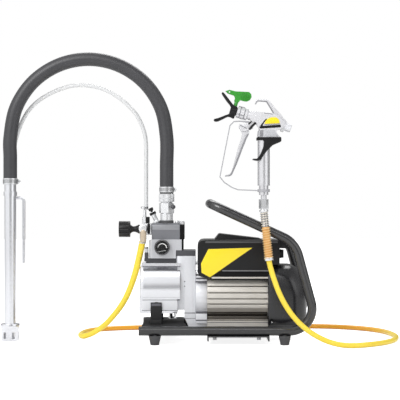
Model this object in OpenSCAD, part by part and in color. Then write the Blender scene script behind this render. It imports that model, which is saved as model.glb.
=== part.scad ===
// Airless diaphragm paint sprayer on a tubular skid.
// Millimetres, +Z up.  Origin: floor level, centre of the four feet.
// +X runs from the pump end to the fan end, the gauge faces -Y.

/* [Skid] */
// Outer diameter of the skid tube
tube_d = 26; // [20:1:32]
// Wall of the skid tube
tube_wall = 2.5; // [1.5:0.5:4]
// Distance between the two side tubes, centre to centre
track = 280; // [270:2:320]
// Length of the straight bottom run, from the cut end to the rear corner
runner_len = 503; // [495:1:530]
// Distance from the front cut end to the centre of the feet pattern
front_reach = 225; // [215:1:240]
// Spacing of the feet along the skid
foot_pitch = 364; // [330:2:380]
// Height of a rubber foot under the tube
foot_h = 26; // [20:1:34]
// Upper diameter of a foot
foot_top_d = 35; // [30:1:40]
// Lower diameter of a foot
foot_low_d = 24; // [18:1:28]
// Clearance hole through a foot for a fixing bolt
foot_hole_d = 6.6; // [5:0.1:9]
// Lean of the rear uprights from vertical, in degrees
upright_lean = 15.2; // [10:0.2:18]
// Vertical rise from the bottom run to the upper corner
upright_rise = 247.6; // [235:1:275]
// Slope of the handle arms from horizontal, in degrees
arm_slope = 24.6; // [20:0.2:28]
// Horizontal length of a handle arm
arm_run = 237; // [225:1:260]

/* [Motor] */
// Height of the motor axis above the floor
motor_z = 122; // [118:1:126]
// Outer diameter of the finned motor body
motor_d = 160; // [150:1:166]
// Length of the finned motor body
motor_len = 174; // [160:1:180]
// Front end of the finned motor body
motor_x = -35; // [-38:1:-32]
// Depth of the cooling grooves
groove_depth = 12; // [6:1:14]
// Width of a cooling groove
groove_w = 3.4; // [2:0.2:4.6]
// Length of the front end shield
shield_len = 33; // [30:1:33]
// Diameter of the motor shaft
shaft_d = 22; // [16:1:24]
// Air gap between rotor and stator
air_gap = 0.6; // [0.4:0.1:1]
// Length of the fan cowl
cowl_len = 112; // [100:1:114]
// Wall of the plastic covers
cover_wall = 3; // [2:0.5:4]

/* [Cover] */
// Length of the electronics cover
cover_len = 234; // [228:1:238]
// Width of the electronics cover
cover_w = 164; // [150:2:176]
// Height of the top of the electronics cover
cover_top = 291.5; // [286:0.5:296]
// Radius of its front upper corner
cover_round = 18; // [8:1:24]
// Thickness of the bare badge on the cover
badge_t = 0.8; // [0.5:0.1:1.5]

/* [Pump] */
// Height of the crankshaft axis
crank_z = 172; // [170:0.5:174]
// Throw of the eccentric
crank_throw = 3; // [1:0.5:4]
// Diameter of the hydraulic piston
piston_d = 18; // [12:1:22]
// Diameter of the diaphragm
diaphragm_d = 72; // [60:2:80]
// Length of the cylindrical pump boss
boss_len = 112; // [108:1:113]
// Diameter of the cylindrical pump boss
boss_d = 89; // [84:1:90]
// Depth of the hydraulic housing, front to back
housing_w = 120; // [110:2:130]
// Height of the pump head block
head_h = 54.5; // [50:0.5:56]
// Depth of the pump head block
head_w = 100; // [92:2:106]
// Height of the upper valve block
cap_h = 46.5; // [42:0.5:50]
// Number of teeth on the motor pinion
pinion_teeth = 12; // [12:1:12]
// Number of teeth on the crank gear
gear_teeth = 28; // [28:1:28]

/* [Fittings] */
// Diameter of the pressure gauge
gauge_d = 43; // [38:1:46]
// Depth of the pressure gauge case
gauge_depth = 16; // [12:1:20]
// Diameter of the pressure control knob
knob_d = 46; // [40:1:50]
// Length of the pressure control knob
knob_len = 32; // [26:1:36]
// Travel of the inlet valve push button
pusher_travel = 4; // [2:0.5:4]
// Tilt of the inlet valve push button from vertical, in degrees
pusher_tilt = 26; // [22:1:30]

/* [Hoses] */
// Outer diameter of the suction hose
suction_d = 40; // [36:1:42]
// Outer diameter of the suction tube
lance_d = 33.6; // [30:0.2:35]
// Wall of the suction tube
lance_wall = 1.5; // [1:0.25:2.5]
// Height of the top of the suction tube
lance_top = 451; // [448:1:453]
// Height of the strainer foot
strainer_h = 49; // [42:1:54]
// Outer diameter of the return hose
return_d = 10.6; // [9:0.2:11]
// Diameter of the return pipe
pipe_d = 9; // [7:0.5:10]
// Outer diameter of the high pressure hose
pressure_d = 15; // [12:0.5:15.6]
// Wire of the spring guard on the hose
guard_wire = 2.2; // [1.4:0.2:2.6]
// Outer diameter of the spring guard
guard_d = 25.2; // [23:0.2:25.6]
// Number of curls of the spring guard
guard_curls = 22; // [10:1:26]

/* [Gun] */
// Tilt of the barrel below horizontal towards the rear, in degrees
barrel_tilt = 15.75; // [14:0.25:17]
// Diameter of the grip
grip_d = 34; // [30:1:35]
// Thickness of the gun body
gun_w = 26; // [22:1:30]
// Diameter of the tip union nut
tip_nut_d = 34; // [30:1:36]
// Diameter of the valve needle
needle_d = 4; // [3:0.2:5]
// Diameter of the trigger pivot pin
pivot_d = 5; // [4:0.5:6]
// Thickness of the trigger
trigger_w = 12; // [8:1:13]
// Thickness of the trigger guard strip
guard_strip = 3; // [2:0.5:4]

/* [Hidden] */
$fn = 64;

// Clearances: a running fit, a seat between fixed pieces and a gap between bodies
running = 0.05;
seat = 0.3;
far = 900;
lap_len = 0.6;
lap_rise = 0.02;
thin_r = 8;
thin_lap_len = 1;
thin_lap_rise = 0.1;

// Colours
black = [0.13, 0.13, 0.14];
tube_black = [0.2, 0.2, 0.21];
alloy = [0.84, 0.84, 0.86];
steel = [0.74, 0.74, 0.76];
yellow = [0.98, 0.88, 0.2];
green = [0.18, 0.55, 0.16];

// ---- skid geometry ----
tube_r = tube_d / 2;
side_y = track / 2;
runner_z = foot_h + tube_r;
rear_x = runner_len - front_reach;
corner_x = rear_x - upright_rise * tan(upright_lean);
corner_z = runner_z + upright_rise;
handle_x = corner_x - arm_run;
handle_z = corner_z + arm_run * tan(arm_slope);
rear_bend = 63;
upper_bend = 80;
handle_bend = 42;
skid_route = [
    [-front_reach, -side_y, runner_z],
    [rear_x, -side_y, runner_z],
    [corner_x, -side_y, corner_z],
    [handle_x, -side_y, handle_z],
    [handle_x, side_y, handle_z],
    [corner_x, side_y, corner_z],
    [rear_x, side_y, runner_z],
    [-front_reach, side_y, runner_z]
];
skid_bends = [0, rear_bend, upper_bend, handle_bend, handle_bend, upper_bend, rear_bend, 0];
foot_x = foot_pitch / 2;
spigot_r = 7;
spigot_h = 6;
plate_top = runner_z + tube_r;
plate_t = 6;

// ---- motor geometry ----
motor_r = motor_d / 2;
motor_end = motor_x + motor_len;
shield_x = motor_x - shield_len;
bore_r = motor_r - groove_depth - 8;
shaft_r = shaft_d / 2;
rotor_r = 35;
stator_in = rotor_r + air_gap;
bearing_w = 12;
bearing_r = shaft_r + 12;
groove_z = [57, 37, 19, 2, -13, -27];
recess_low = -58;
recess_high = -33;
bracket_t = 4;
bracket_x = motor_x;
channel_z = foot_h;
cowl_x = motor_end + 1.5;
cowl_end = cowl_x + cowl_len;
fan_x = motor_end + 34;
fan_w = 22;
fan_r = 60;
cowl_y = 84;
cowl_flange = 4;
cowl_round = 104;
shaft_end = fan_x + fan_w + 6;

// ---- cover geometry ----
cover_x = shield_x + 5.5;
cover_end = cover_x + cover_len;
cover_y = cover_w / 2;
cover_low = motor_z + motor_r + 3;
cowl_top = cover_low + 16;
switch_z = 250;
switch_y = -10;
switch_r = 13;
gland_x = 100;
gland_z = 255;
gland_r = 7;
cable_r = 4;

// ---- pump geometry ----
gear_module = (crank_z - motor_z) * 2 / (pinion_teeth + gear_teeth);
drive_x = -101;
drive_split = -76;
drive_end = shield_x;
gear_x0 = drive_x + 5;
gear_w = 16;
piston_x = -164;
pump_end = -112;
pump_x = pump_end - boss_len;
ledge_x = pump_x - 6;
top_ledge_x = pump_x + 2;
housing_top = 225;
gasket_t = 13;
head_z = housing_top + gasket_t;
cap_z = head_z + head_h;
cap_top = cap_z + cap_h;
housing_y = housing_w / 2;
head_y = head_w / 2;
cap_y = head_y - 5;
head_bevel = 8;
head_x0 = -205;
crank_r = 12;
eccentric_r = 20;
eccentric_w = 24;
vent_x = -211.2;
vent_y = -12;
piston_low = crank_z + crank_throw + eccentric_r + seat;
piston_top = housing_top - 3;
drive_top = 245;
drive_y = 50;
drive_cap_h = 16;
drive_low = 46;

// ---- fittings geometry ----
gauge_x = -164;
gauge_z = 270;
gauge_r = gauge_d / 2;
gauge_wall = 2;
inlet_x = -152;
inlet_y = -30;
regulator_x0 = -230;
regulator_y0 = -42;
regulator_y1 = 18;
regulator_z0 = 306;
regulator_z1 = 338;
knob_z = 322;
knob_y = -30;
neck_x = -257;
spindle_r = 5;
outlet_x = -220;
return_x = -213;
return_y = 8;
pusher_at = [-179, -8, cap_top];
pusher_r = 6.5;
button_r = 7;
stem_r = 4;
collar_top = 36;

// ---- lance geometry ----
lance_x = -604;
lance_y = -30;
lance_r = lance_d / 2;
lance_low = strainer_h - 10;
pipe_x = -569;
pipe_y = 0;
pipe_top = 434;
pipe_turn_z = 412;
pipe_low = 222;
pipe_bend = 12;
pipe_wall = 1;
suction_r = suction_d / 2;
clamp_wall = 1.6;

// ---- gun geometry ----
gun_x = 121.5;
gun_y = -166;
barrel_z = 630;
guard_foot = [136.3, -166, 238];
guard_lean = atan((guard_foot[0] - gun_x) / (380 - guard_foot[2]));
collar_len = 9.6;
swage_at = 96;
guard_end = 136;
nut_low = 382;
nut_high = 408;
grip_low = 420;
grip_step = 446;
grip_high = 580.3;
tip_x = -86;
pivot_at = [64, 606];
lock_at = [89, 610];

// ---- cord routes, chosen by hand ----
suction_route = [
    [-152, -30, 424], [-152, -30, 446], [-152, -30, 505], [-152, -30, 587],
    [-169, -30, 673], [-218, -30, 747], [-292, -30, 796], [-378, -30, 813],
    [-464, -30, 796], [-538, -30, 747], [-587, -30, 673], [-604, -30, 587],
    [-604, -30, 530], [-604, -30, 474], [-604, -30, 451]
];
return_route = [
    [-213, 8, 378], [-213, 8, 400], [-213, 8, 430], [-213, 8, 462], [-213, 8, 495],
    [-213, 8, 528], [-213, 8, 561], [-216, 8, 594], [-226, 8, 626], [-242, 7, 656],
    [-265, 6, 682], [-292, 5, 705], [-324, 5, 724], [-358, 4, 736], [-394, 4, 741],
    [-430, 3, 739], [-464, 3, 729], [-497, 2, 714], [-527, 2, 695], [-551, 1, 672],
    [-569, 1, 645], [-582, 0, 615], [-592, 0, 583], [-598, 0, 550], [-602, 0, 516],
    [-604, 0, 483], [-604, 0, 457], [-604, 0, 434]
];
pressure_route = [
    [-220, -30, 286], [-220, -30, 266], [-226, -30, 240], [-236, -29, 208],
    [-249, -27, 174], [-263, -24, 141], [-280, -19, 107], [-303, -14, 74],
    [-332, -8, 43], [-366, -2, 19], [-394, 10, 8], [-408, 44, 7.5], [-408, 88, 7.5],
    [-402, 132, 7.5], [-388, 174, 7.5], [-362, 208, 7.5], [-324, 231, 7.5],
    [-282, 247, 7.5], [-238, 258, 7.5], [-193, 267, 7.5], [-148, 274, 7.5],
    [-103, 280, 7.5], [-58, 285, 7.5], [-13, 289, 7.5], [32, 293, 7.5],
    [77, 296, 7.5], [122, 298, 7.5], [167, 300, 7.5], [212, 300, 7.5],
    [257, 299, 7.5], [302, 296, 7.5], [346, 287, 7.5], [388, 271, 7.5],
    [427, 247, 7.5], [461, 215, 7.5], [487, 176, 7.5], [504, 132, 7.5],
    [513, 87, 7.5], [517, 42, 7.5], [516, -3, 7.5], [508, -48, 7.5],
    [493, -92, 7.5], [470, -132, 7.5], [440, -168, 7.5], [402, -199, 7.5],
    [366, -216, 7.5], [330, -221, 10], [297, -219, 18], [264, -215, 33],
    [234, -208, 53], [206, -199, 80], [182, -190, 113], [164, -182, 148],
    [151, -174, 183], [142, -168, 213], [136.3, -166, 238],
    [131.3, -166, 286], [126.3, -166, 333.5]
];

// ---- vectors and sweeps ----
function unit(v) = v / norm(v);
function across(v) = abs(v[2]) < 0.9 ? unit(cross(v, [0, 0, 1])) : unit(cross(v, [0, 1, 0]));
function frame_matrix(x, y, z, at) = [
    [x[0], y[0], z[0], at[0]],
    [x[1], y[1], z[1], at[1]],
    [x[2], y[2], z[2], at[2]],
    [0, 0, 0, 1]
];

// Direction of a route at each of its points
function heading(p, i) =
    i == 0 ? unit(p[1] - p[0]) :
    i == len(p) - 1 ? unit(p[i] - p[i - 1]) :
    unit(unit(p[i] - p[i - 1]) + unit(p[i + 1] - p[i]));

// Side vectors carried along the route without twist
function carried(t, s) = unit(s - t * (s * t));
function sides(p) = [
    for (i = 0, s = across(heading(p, 0)); i < len(p);
         i = i + 1, s = i < len(p) ? carried(heading(p, i), s) : s) s
];
function ring(c, t, s, r, n) = [
    for (k = [0:n - 1])
        c + r * cos(360 * (k + 0.5) / n) * s + r * sin(360 * (k + 0.5) / n) * cross(t, s)
];
function strip_faces(m, n) = concat(
    [for (k = [1:n - 2]) [0, k, k + 1]],
    [for (j = [0:m - 2]) for (k = [0:n - 1])
        [j * n + k, (j + 1) * n + k, (j + 1) * n + (k + 1) % n]],
    [for (j = [0:m - 2]) for (k = [0:n - 1])
        [j * n + k, (j + 1) * n + (k + 1) % n, j * n + (k + 1) % n]],
    [for (k = [1:n - 2]) [(m - 1) * n, (m - 1) * n + k + 1, (m - 1) * n + k]]
);

// One closed tube swept along a route
module swept(route, r, n) {
    side = sides(route);
    points = [
        for (i = [0:len(route) - 1])
            each ring(route[i], heading(route, i), side[i], r, n)
    ];
    polyhedron(points, strip_faces(len(route), n), convexity = 10);
}
function route_length(p) = len(p) < 2 ? 0 : [
    for (i = 0, s = 0; i < len(p); s = s + (i < len(p) - 1 ? norm(p[i + 1] - p[i]) : 0),
         i = i + 1) s
][len(p) - 1];

// Rods and bends along a route, each corner on its own radius
function turn(p, i) = acos(min(1, unit(p[i] - p[i - 1]) * unit(p[i + 1] - p[i])));
function setback(p, bends, i) = bends[i] == 0 ? 0 : bends[i] * tan(turn(p, i) / 2);
function inward(p, i) =
    let (u = unit(p[i] - p[i - 1]), v = unit(p[i + 1] - p[i])) unit(v - u * (u * v));
function roll(p, i) = i > len(p) - 3 ? 0 :
    let (u = unit(p[i] - p[i - 1]), n = inward(p, i), m = inward(p, i + 1),
         after = n * cos(turn(p, i)) - u * sin(turn(p, i)))
    atan2(m * cross(u, n), m * after);
// A hair-thin ring that laps the seam between a straight run and a bend
module lap_ring(r) {
    reach = r < thin_r ? thin_lap_len : lap_len;
    rise = r < thin_r ? thin_lap_rise : lap_rise;
    translate([0, 0, -reach]) cylinder(h = 2 * reach, r = r + rise);
}
// Each step draws one straight run and the bend after it, then goes on from there
module rod_step(p, bends, r, i) {
    run = norm(p[i + 1] - p[i]) - setback(p, bends, i) - setback(p, bends, i + 1);
    cylinder(h = run, r = r);
    if (i > 0) lap_ring(r);
    if (i < len(p) - 2) translate([0, 0, run]) {
        bend = bends[i + 1];
        lap_ring(r);
        multmatrix([[-1, 0, 0, bend], [0, 0, 1, 0], [0, 1, 0, 0], [0, 0, 0, 1]])
            rotate_extrude(angle = turn(p, i + 1)) translate([bend, 0]) circle(r = r);
        translate([bend, 0, 0]) rotate([0, turn(p, i + 1), 0]) translate([-bend, 0, 0])
            rotate([0, 0, roll(p, i + 1)]) rod_step(p, bends, r, i + 1);
    }
}
module bent_rod(p, bends, r) {
    u = unit(p[1] - p[0]);
    n = inward(p, 1);
    multmatrix(frame_matrix(n, cross(u, n), u, p[0])) rod_step(p, bends, r, 0);
}

// Plain shapes in the axes that the machine uses
module rod_x(x0, x1, y, z, r) {
    translate([x0, y, z]) rotate([0, 90, 0]) cylinder(h = x1 - x0, r = r);
}
module rod_y(y0, y1, x, z, r) {
    translate([x, y1, z]) rotate([90, 0, 0]) cylinder(h = y1 - y0, r = r);
}
module rod_z(z0, z1, x, y, r) {
    translate([x, y, z0]) cylinder(h = z1 - z0, r = r);
}
module hex_z(z0, z1, x, y, r) {
    translate([x, y, z0]) cylinder(h = z1 - z0, r = r, $fn = 6);
}
module hex_x(x0, x1, y, z, r) {
    translate([x0, y, z]) rotate([0, 90, 0]) cylinder(h = x1 - x0, r = r, $fn = 6);
}
module block(x0, x1, y0, y1, z0, z1) {
    translate([x0, y0, z0]) cube([x1 - x0, y1 - y0, z1 - z0]);
}
// An XZ outline given a depth along Y
module slab_y(points, y0, y1) {
    translate([0, y1, 0]) rotate([90, 0, 0]) linear_extrude(height = y1 - y0) polygon(points);
}
// A constant-width strip along an open XZ line
function flat_dir(p, i) = i == 0 ? unit(p[1] - p[0]) :
    i == len(p) - 1 ? unit(p[i] - p[i - 1]) :
    unit(unit(p[i] - p[i - 1]) + unit(p[i + 1] - p[i]));
function flat_side(p, i, w) = p[i] + [-flat_dir(p, i)[1], flat_dir(p, i)[0]] * w;
function ribbon(p, w) = concat(
    [for (i = [0:len(p) - 1]) flat_side(p, i, w / 2)],
    [for (i = [len(p) - 1:-1:0]) flat_side(p, i, -w / 2)]
);

// ---- skid ----
module foot_places() {
    for (x = [-foot_x, foot_x]) for (y = [-side_y, side_y]) translate([x, y, 0]) children();
}
module carry_frame() {
    color(tube_black) difference() {
        bent_rod(skid_route, skid_bends, tube_r);
        bent_rod(skid_route, skid_bends, tube_r - tube_wall);
        foot_places() translate([0, 0, runner_z - tube_r - 1]) cylinder(h = tube_r, r = spigot_r);
    }
}
// Feet pushed into the tube from below, and the plugs in the two cut ends
module feet_and_plugs() {
    plug_r = tube_r - tube_wall;
    color(black) {
        foot_places() difference() {
            union() {
                cylinder(h = foot_h - seat, r1 = foot_low_d / 2, r2 = foot_top_d / 2);
                cylinder(h = foot_h + spigot_h, r = spigot_r);
            }
            translate([0, 0, -1]) cylinder(h = foot_h + spigot_h + 2, r = foot_hole_d / 2);
        }
        for (y = [-side_y, side_y]) {
            rod_x(-front_reach, -front_reach + 14, y, runner_z, plug_r);
            rod_x(-front_reach - 2, -front_reach, y, runner_z, tube_r);
        }
    }
}
module base_plate() {
    inner = side_y - tube_r;
    color(black) {
        difference() {
            translate([0, 0, plate_top - plate_t]) linear_extrude(height = plate_t) polygon([
                [-220, -inner - 4], [-94, -inner - 4], [-106, inner + 4], [-220, inner + 4]
            ]);
            for (y = [-side_y, side_y]) rod_x(-230, -80, y, runner_z, tube_r);
            block(drive_x - seat, -80, -drive_y - seat, drive_y + seat, drive_low - seat, far);
        }
    }
}
bracket_left = -197;
bracket_right = -164;
bracket_wall = 5;
bracket_face = housing_y + bracket_wall;
module pump_brackets() {
    mid = (bracket_left + bracket_right) / 2;
    half = (bracket_right - bracket_left) / 2;
    color(black) for (side = [-1, 1]) {
        y0 = side < 0 ? -bracket_face : housing_y;
        y1 = y0 + bracket_wall;
        block(bracket_left, bracket_right, y0, y1, plate_top, 97);
        rod_y(y0, y1, mid, 97, half);
        foot0 = side < 0 ? -bracket_face - 22 : housing_y;
        block(bracket_left, bracket_right, foot0, foot0 + 22 + bracket_wall,
              plate_top, plate_top + bracket_wall);
    }
}
// Channel under the side tubes that carries the motor
module motor_bracket() {
    half = side_y + tube_r;
    color(black) {
        block(bracket_x, motor_end, -half, half, channel_z - bracket_t, channel_z);
        for (x = [bracket_x, motor_end - bracket_t])
            block(x, x + bracket_t, -half, half, channel_z - 15, channel_z);
    }
}
module hex_bolts() {
    color(steel) {
        for (x = [motor_x + 22, motor_end - 22]) for (y = [-48, 48])
            hex_z(channel_z - bracket_t - 5.5, channel_z - bracket_t, x, y, 7);
        for (x = [-184, -122]) for (y = [-cap_y + 9, cap_y - 9])
            rod_z(cap_top, cap_top + 6, x, y, 5);
        for (y = [-housing_y + 8, housing_y - 8])
            rod_z(housing_top, housing_top + 5, top_ledge_x + 8, y, 5);
        for (z = [196, 226]) for (y = [-40, 40]) hex_x(drive_end, drive_end + 5, y, z, 6);
        for (y = [-bracket_face - 12, bracket_face + 12])
            hex_z(plate_top + bracket_wall, plate_top + bracket_wall + 5, -180, y, 7);
        for (s = [-1, 1]) rod_y(s < 0 ? -cowl_y - 2 : cowl_y, s < 0 ? -cowl_y : cowl_y + 2,
                                cowl_x + 8, 62, 4);
    }
}

// ---- motor ----
module motor_body() {
    color([0.8, 0.79, 0.76]) difference() {
        union() {
            rod_x(motor_x, motor_end, 0, motor_z, motor_r - groove_depth);
            difference() {
                rod_x(motor_x, motor_end, 0, motor_z, motor_r);
                for (z = groove_z) translate([0, 0, motor_z + z])
                    cube([far, far, groove_w], center = true);
                block(-far, far, -far, far, motor_z + recess_low, motor_z + recess_high);
            }
            for (s = [-1, 1]) {
                block(motor_x, motor_end, s * 46 - 6, s * 46 + 6, channel_z,
                      motor_z + recess_low + 8);
                block(motor_x, motor_end, s * 52 - 12, s * 52 + 12, channel_z,
                      motor_z + recess_low - 4);
            }
        }
        rod_x(motor_x - 1, motor_end + 1, 0, motor_z, bore_r);
    }
}
module stator() {
    core_x = motor_x + 42;
    core_len = motor_len - 84;
    color([0.55, 0.33, 0.2]) difference() {
        union() {
            rod_x(core_x, core_x + core_len, 0, motor_z, bore_r - running);
            rod_x(core_x - 20, core_x + core_len + 20, 0, motor_z, bore_r - 5);
        }
        rod_x(core_x - 21, core_x + core_len + 21, 0, motor_z, stator_in);
    }
}
module motor_shields() {
    color(alloy) {
        difference() {
            union() {
                rod_x(shield_x, motor_x, 0, motor_z, 66);
                block(shield_x, motor_x, -44, 44, 42, motor_z);
            }
            rod_x(shield_x + 8, motor_x + 1, 0, motor_z, 48);
            rod_x(shield_x - 1, shield_x + 9, 0, motor_z, shaft_r + 2);
            rod_x(shield_x + 8, shield_x + 8 + bearing_w, 0, motor_z, bearing_r);
        }
        difference() {
            rod_x(shield_x + 8, shield_x + 8 + bearing_w, 0, motor_z, 50);
            rod_x(shield_x + 7, shield_x + 9 + bearing_w, 0, motor_z, bearing_r);
        }
        difference() {
            rod_x(motor_end, motor_end + 14, 0, motor_z, motor_r - 10);
            rod_x(motor_end + bearing_w, motor_end + 15, 0, motor_z, shaft_r + 2);
            rod_x(motor_end - 1, motor_end + bearing_w, 0, motor_z, bearing_r);
        }
    }
}
module ball_race_x(x0, z, r_in, r_out) {
    difference() {
        rod_x(x0, x0 + bearing_w, 0, z, r_out);
        rod_x(x0 - 1, x0 + bearing_w + 1, 0, z, r_in);
    }
}
module bearings() {
    color(steel) {
        ball_race_x(shield_x + 8, motor_z, shaft_r + running, bearing_r);
        ball_race_x(motor_end, motor_z, shaft_r + running, bearing_r);
        ball_race_x(pump_x + 10, crank_z, crank_r + running, crank_r + 9);
        ball_race_x(pump_end - 20, crank_z, crank_r + running, crank_r + 9);
    }
}
// Moulded end cover over the fan
cowl_side = [
    [cowl_x, 42], [cowl_end - 14, 42], [cowl_end - 4, 52], [cowl_end, 100],
    [cowl_end - 4, 125], [cowl_end - 36, 212], [cowl_end - 44, cowl_top],
    [cowl_x, cowl_top]
];
module cowl_solid(inset) {
    intersection() {
        slab_y([for (p = cowl_side)
            [p[0] > cowl_x ? p[0] - inset : p[0] + (inset > 0 ? cowl_flange : 0),
             p[1] > 100 ? p[1] - inset : p[1] + (p[1] < 60 ? inset : 0)]], -far, far);
        rod_x(cowl_x - 10, cowl_end + 10, 0, cowl_top - cowl_round, cowl_round - inset);
        block(cowl_x - 10, cowl_end + 10, -cowl_y + inset, cowl_y - inset, 0, far);
    }
}
module fan_cowl() {
    color(black) difference() {
        cowl_solid(0);
        cowl_solid(cover_wall);
        for (z = [-40:16:40]) block(cowl_end - 30, cowl_end + 5, -32, 32,
                                    motor_z + z - 3, motor_z + z + 3);
        rod_x(cowl_x - 2, cowl_x + 13, 0, motor_z, motor_r - 10 + seat);
    }
}

// ---- electronics cover ----
cover_side = concat(
    [[cover_x, 200], [cover_x + 6, 188], [-28, 182.5], [5, cover_low], [motor_end, cover_low],
     [motor_end, cowl_top + seat], [cover_end, cowl_top + seat], [cover_end, cover_top]],
    [for (a = [90:15:180]) [cover_x + cover_round + cover_round * cos(a),
                            cover_top - cover_round + cover_round * sin(a)]]
);
hood_side = [[-14, cover_top], [0, cover_top + 17], [121, cover_top + 2.5], [121, cover_top]];
module motor_cover() {
    w = cover_wall;
    color(black) {
        difference() {
            union() {
                slab_y(cover_side, -cover_y, cover_y);
                slab_y(hood_side, -30, 62);
            }
            block(cover_x + w, cover_end - w, -cover_y + w, cover_y - w, 150, cover_top - 20);
            block(cover_x + 20, cover_end - w, -cover_y + w, cover_y - w, 200, cover_top - w);
            rod_x(cover_end - w - 1, cover_end + 1, switch_y, switch_z, 4);
            rod_y(cover_y - w - 1, cover_y + 1, gland_x, gland_z, gland_r);
        }
        block(-10, 60, -34, 34, motor_z + motor_r + 0.2, cover_low + 2);
        for (x = [-10, 56]) block(x, x + 4, -cover_y + w, cover_y - w, cover_low, cover_low + 4);
    }
}
badge_points = [[-31.7, 265.8], [93.6, 269.8], [-27, 186], [-50.8, 198.8], [-52.3, 225.1]];
module cover_badge() {
    color(yellow) slab_y(badge_points, -cover_y - badge_t, -cover_y);
}
module cable_gland() {
    color(black) {
        difference() {
            union() {
                rod_y(cover_y, cover_y + 16, gland_x, gland_z, 11);
                rod_y(cover_y - cover_wall - 6, cover_y, gland_x, gland_z, gland_r);
            }
            rod_y(cover_y - cover_wall - 7, cover_y + 17, gland_x, gland_z, cable_r);
        }
    }
}
module power_switch() {
    color(black) {
        rod_x(cover_end + seat, cover_end + 9, switch_y, switch_z, switch_r);
        block(cover_end + 9, cover_end + 16, switch_y - 4, switch_y + 4,
              switch_z - switch_r + 1, switch_z + switch_r - 1);
        rod_x(cover_end - 12, cover_end + 1, switch_y, switch_z, 4 - running);
    }
}

// ---- drive ----
module drive_housing() {
    color(alloy) difference() {
        union() {
            block(drive_x, drive_split, -drive_y, drive_y, drive_low, drive_top);
            slab_y([[-124, 91], [drive_x, 91], [drive_x, drive_top], [-124, drive_top],
                    [-124, housing_top + seat], [pump_end, housing_top + seat],
                    [pump_end, 116], [-124, 116]], -40, 40);
        }
        rod_x(drive_x + 3, drive_split + 1, 0, crank_z, 43);
        rod_x(drive_x + 3, drive_split + 1, 0, motor_z, 22);
        rod_x(-130, drive_split, 0, crank_z, crank_r + 1);
    }
}
module drive_cover() {
    color(alloy) difference() {
        block(drive_split, drive_end, -drive_y, drive_y, drive_low, drive_top);
        rod_x(drive_split - 1, drive_end + 1, 0, motor_z, shaft_r + 1);
    }
}
module drive_cap() {
    color([0.45, 0.45, 0.47])
        block(-124, drive_end, -drive_y, drive_y, drive_top, drive_top + drive_cap_h);
}
// A straight-sided gear whose teeth leave backlash
module gear_x(x0, x1, z, teeth, phase) {
    pitch_r = teeth * gear_module / 2;
    root = pitch_r - 1.25 * gear_module;
    tip = pitch_r + 0.8 * gear_module;
    step = 360 / teeth;
    translate([x0, 0, z]) rotate([0, 90, 0]) linear_extrude(height = x1 - x0) polygon([
        for (i = [0:teeth - 1]) each [
            root * [cos(i * step + phase - step * 0.24), sin(i * step + phase - step * 0.24)],
            tip * [cos(i * step + phase - step * 0.11), sin(i * step + phase - step * 0.11)],
            tip * [cos(i * step + phase + step * 0.11), sin(i * step + phase + step * 0.11)],
            root * [cos(i * step + phase + step * 0.24), sin(i * step + phase + step * 0.24)]
        ]
    ]);
}
module rotor_shaft() {
    color(steel) {
        rod_x(gear_x0 - 1, shaft_end, 0, motor_z, shaft_r - 3);
        rod_x(shield_x + 4, motor_end + bearing_w, 0, motor_z, shaft_r);
        rod_x(motor_x + 42, motor_end - 42, 0, motor_z, rotor_r);
        gear_x(gear_x0, gear_x0 + gear_w, motor_z, pinion_teeth, 0);
    }
}
module cooling_fan() {
    color(black) {
        difference() {
            rod_x(fan_x, fan_x + fan_w, 0, motor_z, 20);
            rod_x(fan_x - 1, fan_x + fan_w + 1, 0, motor_z, shaft_r - 3);
        }
        for (a = [0:45:315]) translate([fan_x, 0, motor_z]) rotate([a, 0, 0])
            block(0, fan_w, -1.5, 1.5, 19, fan_r);
    }
}
module crankshaft() {
    color(steel) {
        rod_x(pump_x + 8, gear_x0 + gear_w, 0, crank_z, crank_r);
        rod_x(piston_x - eccentric_w / 2, piston_x + eccentric_w / 2, 0,
              crank_z + crank_throw, eccentric_r);
        gear_x(gear_x0, gear_x0 + gear_w, crank_z, gear_teeth, 180 / gear_teeth);
    }
}

// ---- pump ----
module hydraulic_housing() {
    boss_r = boss_d / 2;
    color(alloy) difference() {
        union() {
            block(top_ledge_x, pump_end, -housing_y, housing_y, housing_top - 9, housing_top);
            block(pump_x, pump_end, -housing_y + 26, housing_y - 26, 116, housing_top - 8);
            for (s = [-1, 1]) intersection() {
                rod_x(pump_x, pump_end, s * (housing_y - boss_r), crank_z, boss_r);
                block(pump_x, pump_end, -housing_y, housing_y, 100, housing_top - 8);
            }
            block(ledge_x, pump_end, -housing_y, housing_y, 122, 128);
            slab_y([[ledge_x, 90], [ledge_x + 9, 81], [-135, 81], [-126, 90], [-126, 122],
                    [ledge_x, 122]], -housing_y, housing_y);
        }
        rod_x(pump_x + 24, pump_end - 22, 0, crank_z, 33);
        rod_x(pump_x + 8, pump_end + 1, 0, crank_z, crank_r + 9);
        rod_z(crank_z, housing_top - 16, piston_x, 0, 17);
        rod_z(crank_z, housing_top + 1, piston_x, 0, piston_d / 2 + running);
    }
}
module oil_plugs() {
    color(steel) {
        rod_z(70, 81, -139, -40, 5);
        hex_z(65, 71, -139, -40, 9);
        rod_z(head_z, 256, vent_x, vent_y, 5.2);
        hex_z(256, 270, vent_x, vent_y, 5.9);
    }
}
module head_gasket() {
    color([0.4, 0.4, 0.42]) difference() {
        block(-216, -124.5, -head_y + 4, head_y - 4, housing_top, head_z);
        rod_z(housing_top - 1, head_z, piston_x, 0, diaphragm_d / 2 - 6);
        rod_z(head_z - 3, head_z + 1, piston_x, 0, diaphragm_d / 2);
    }
}
module hydraulic_piston() {
    color(steel) {
        rod_z(piston_low, piston_top, piston_x, 0, piston_d / 2);
        rod_z(piston_low, piston_low + 3, piston_x, 0, 14);
    }
}
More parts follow.
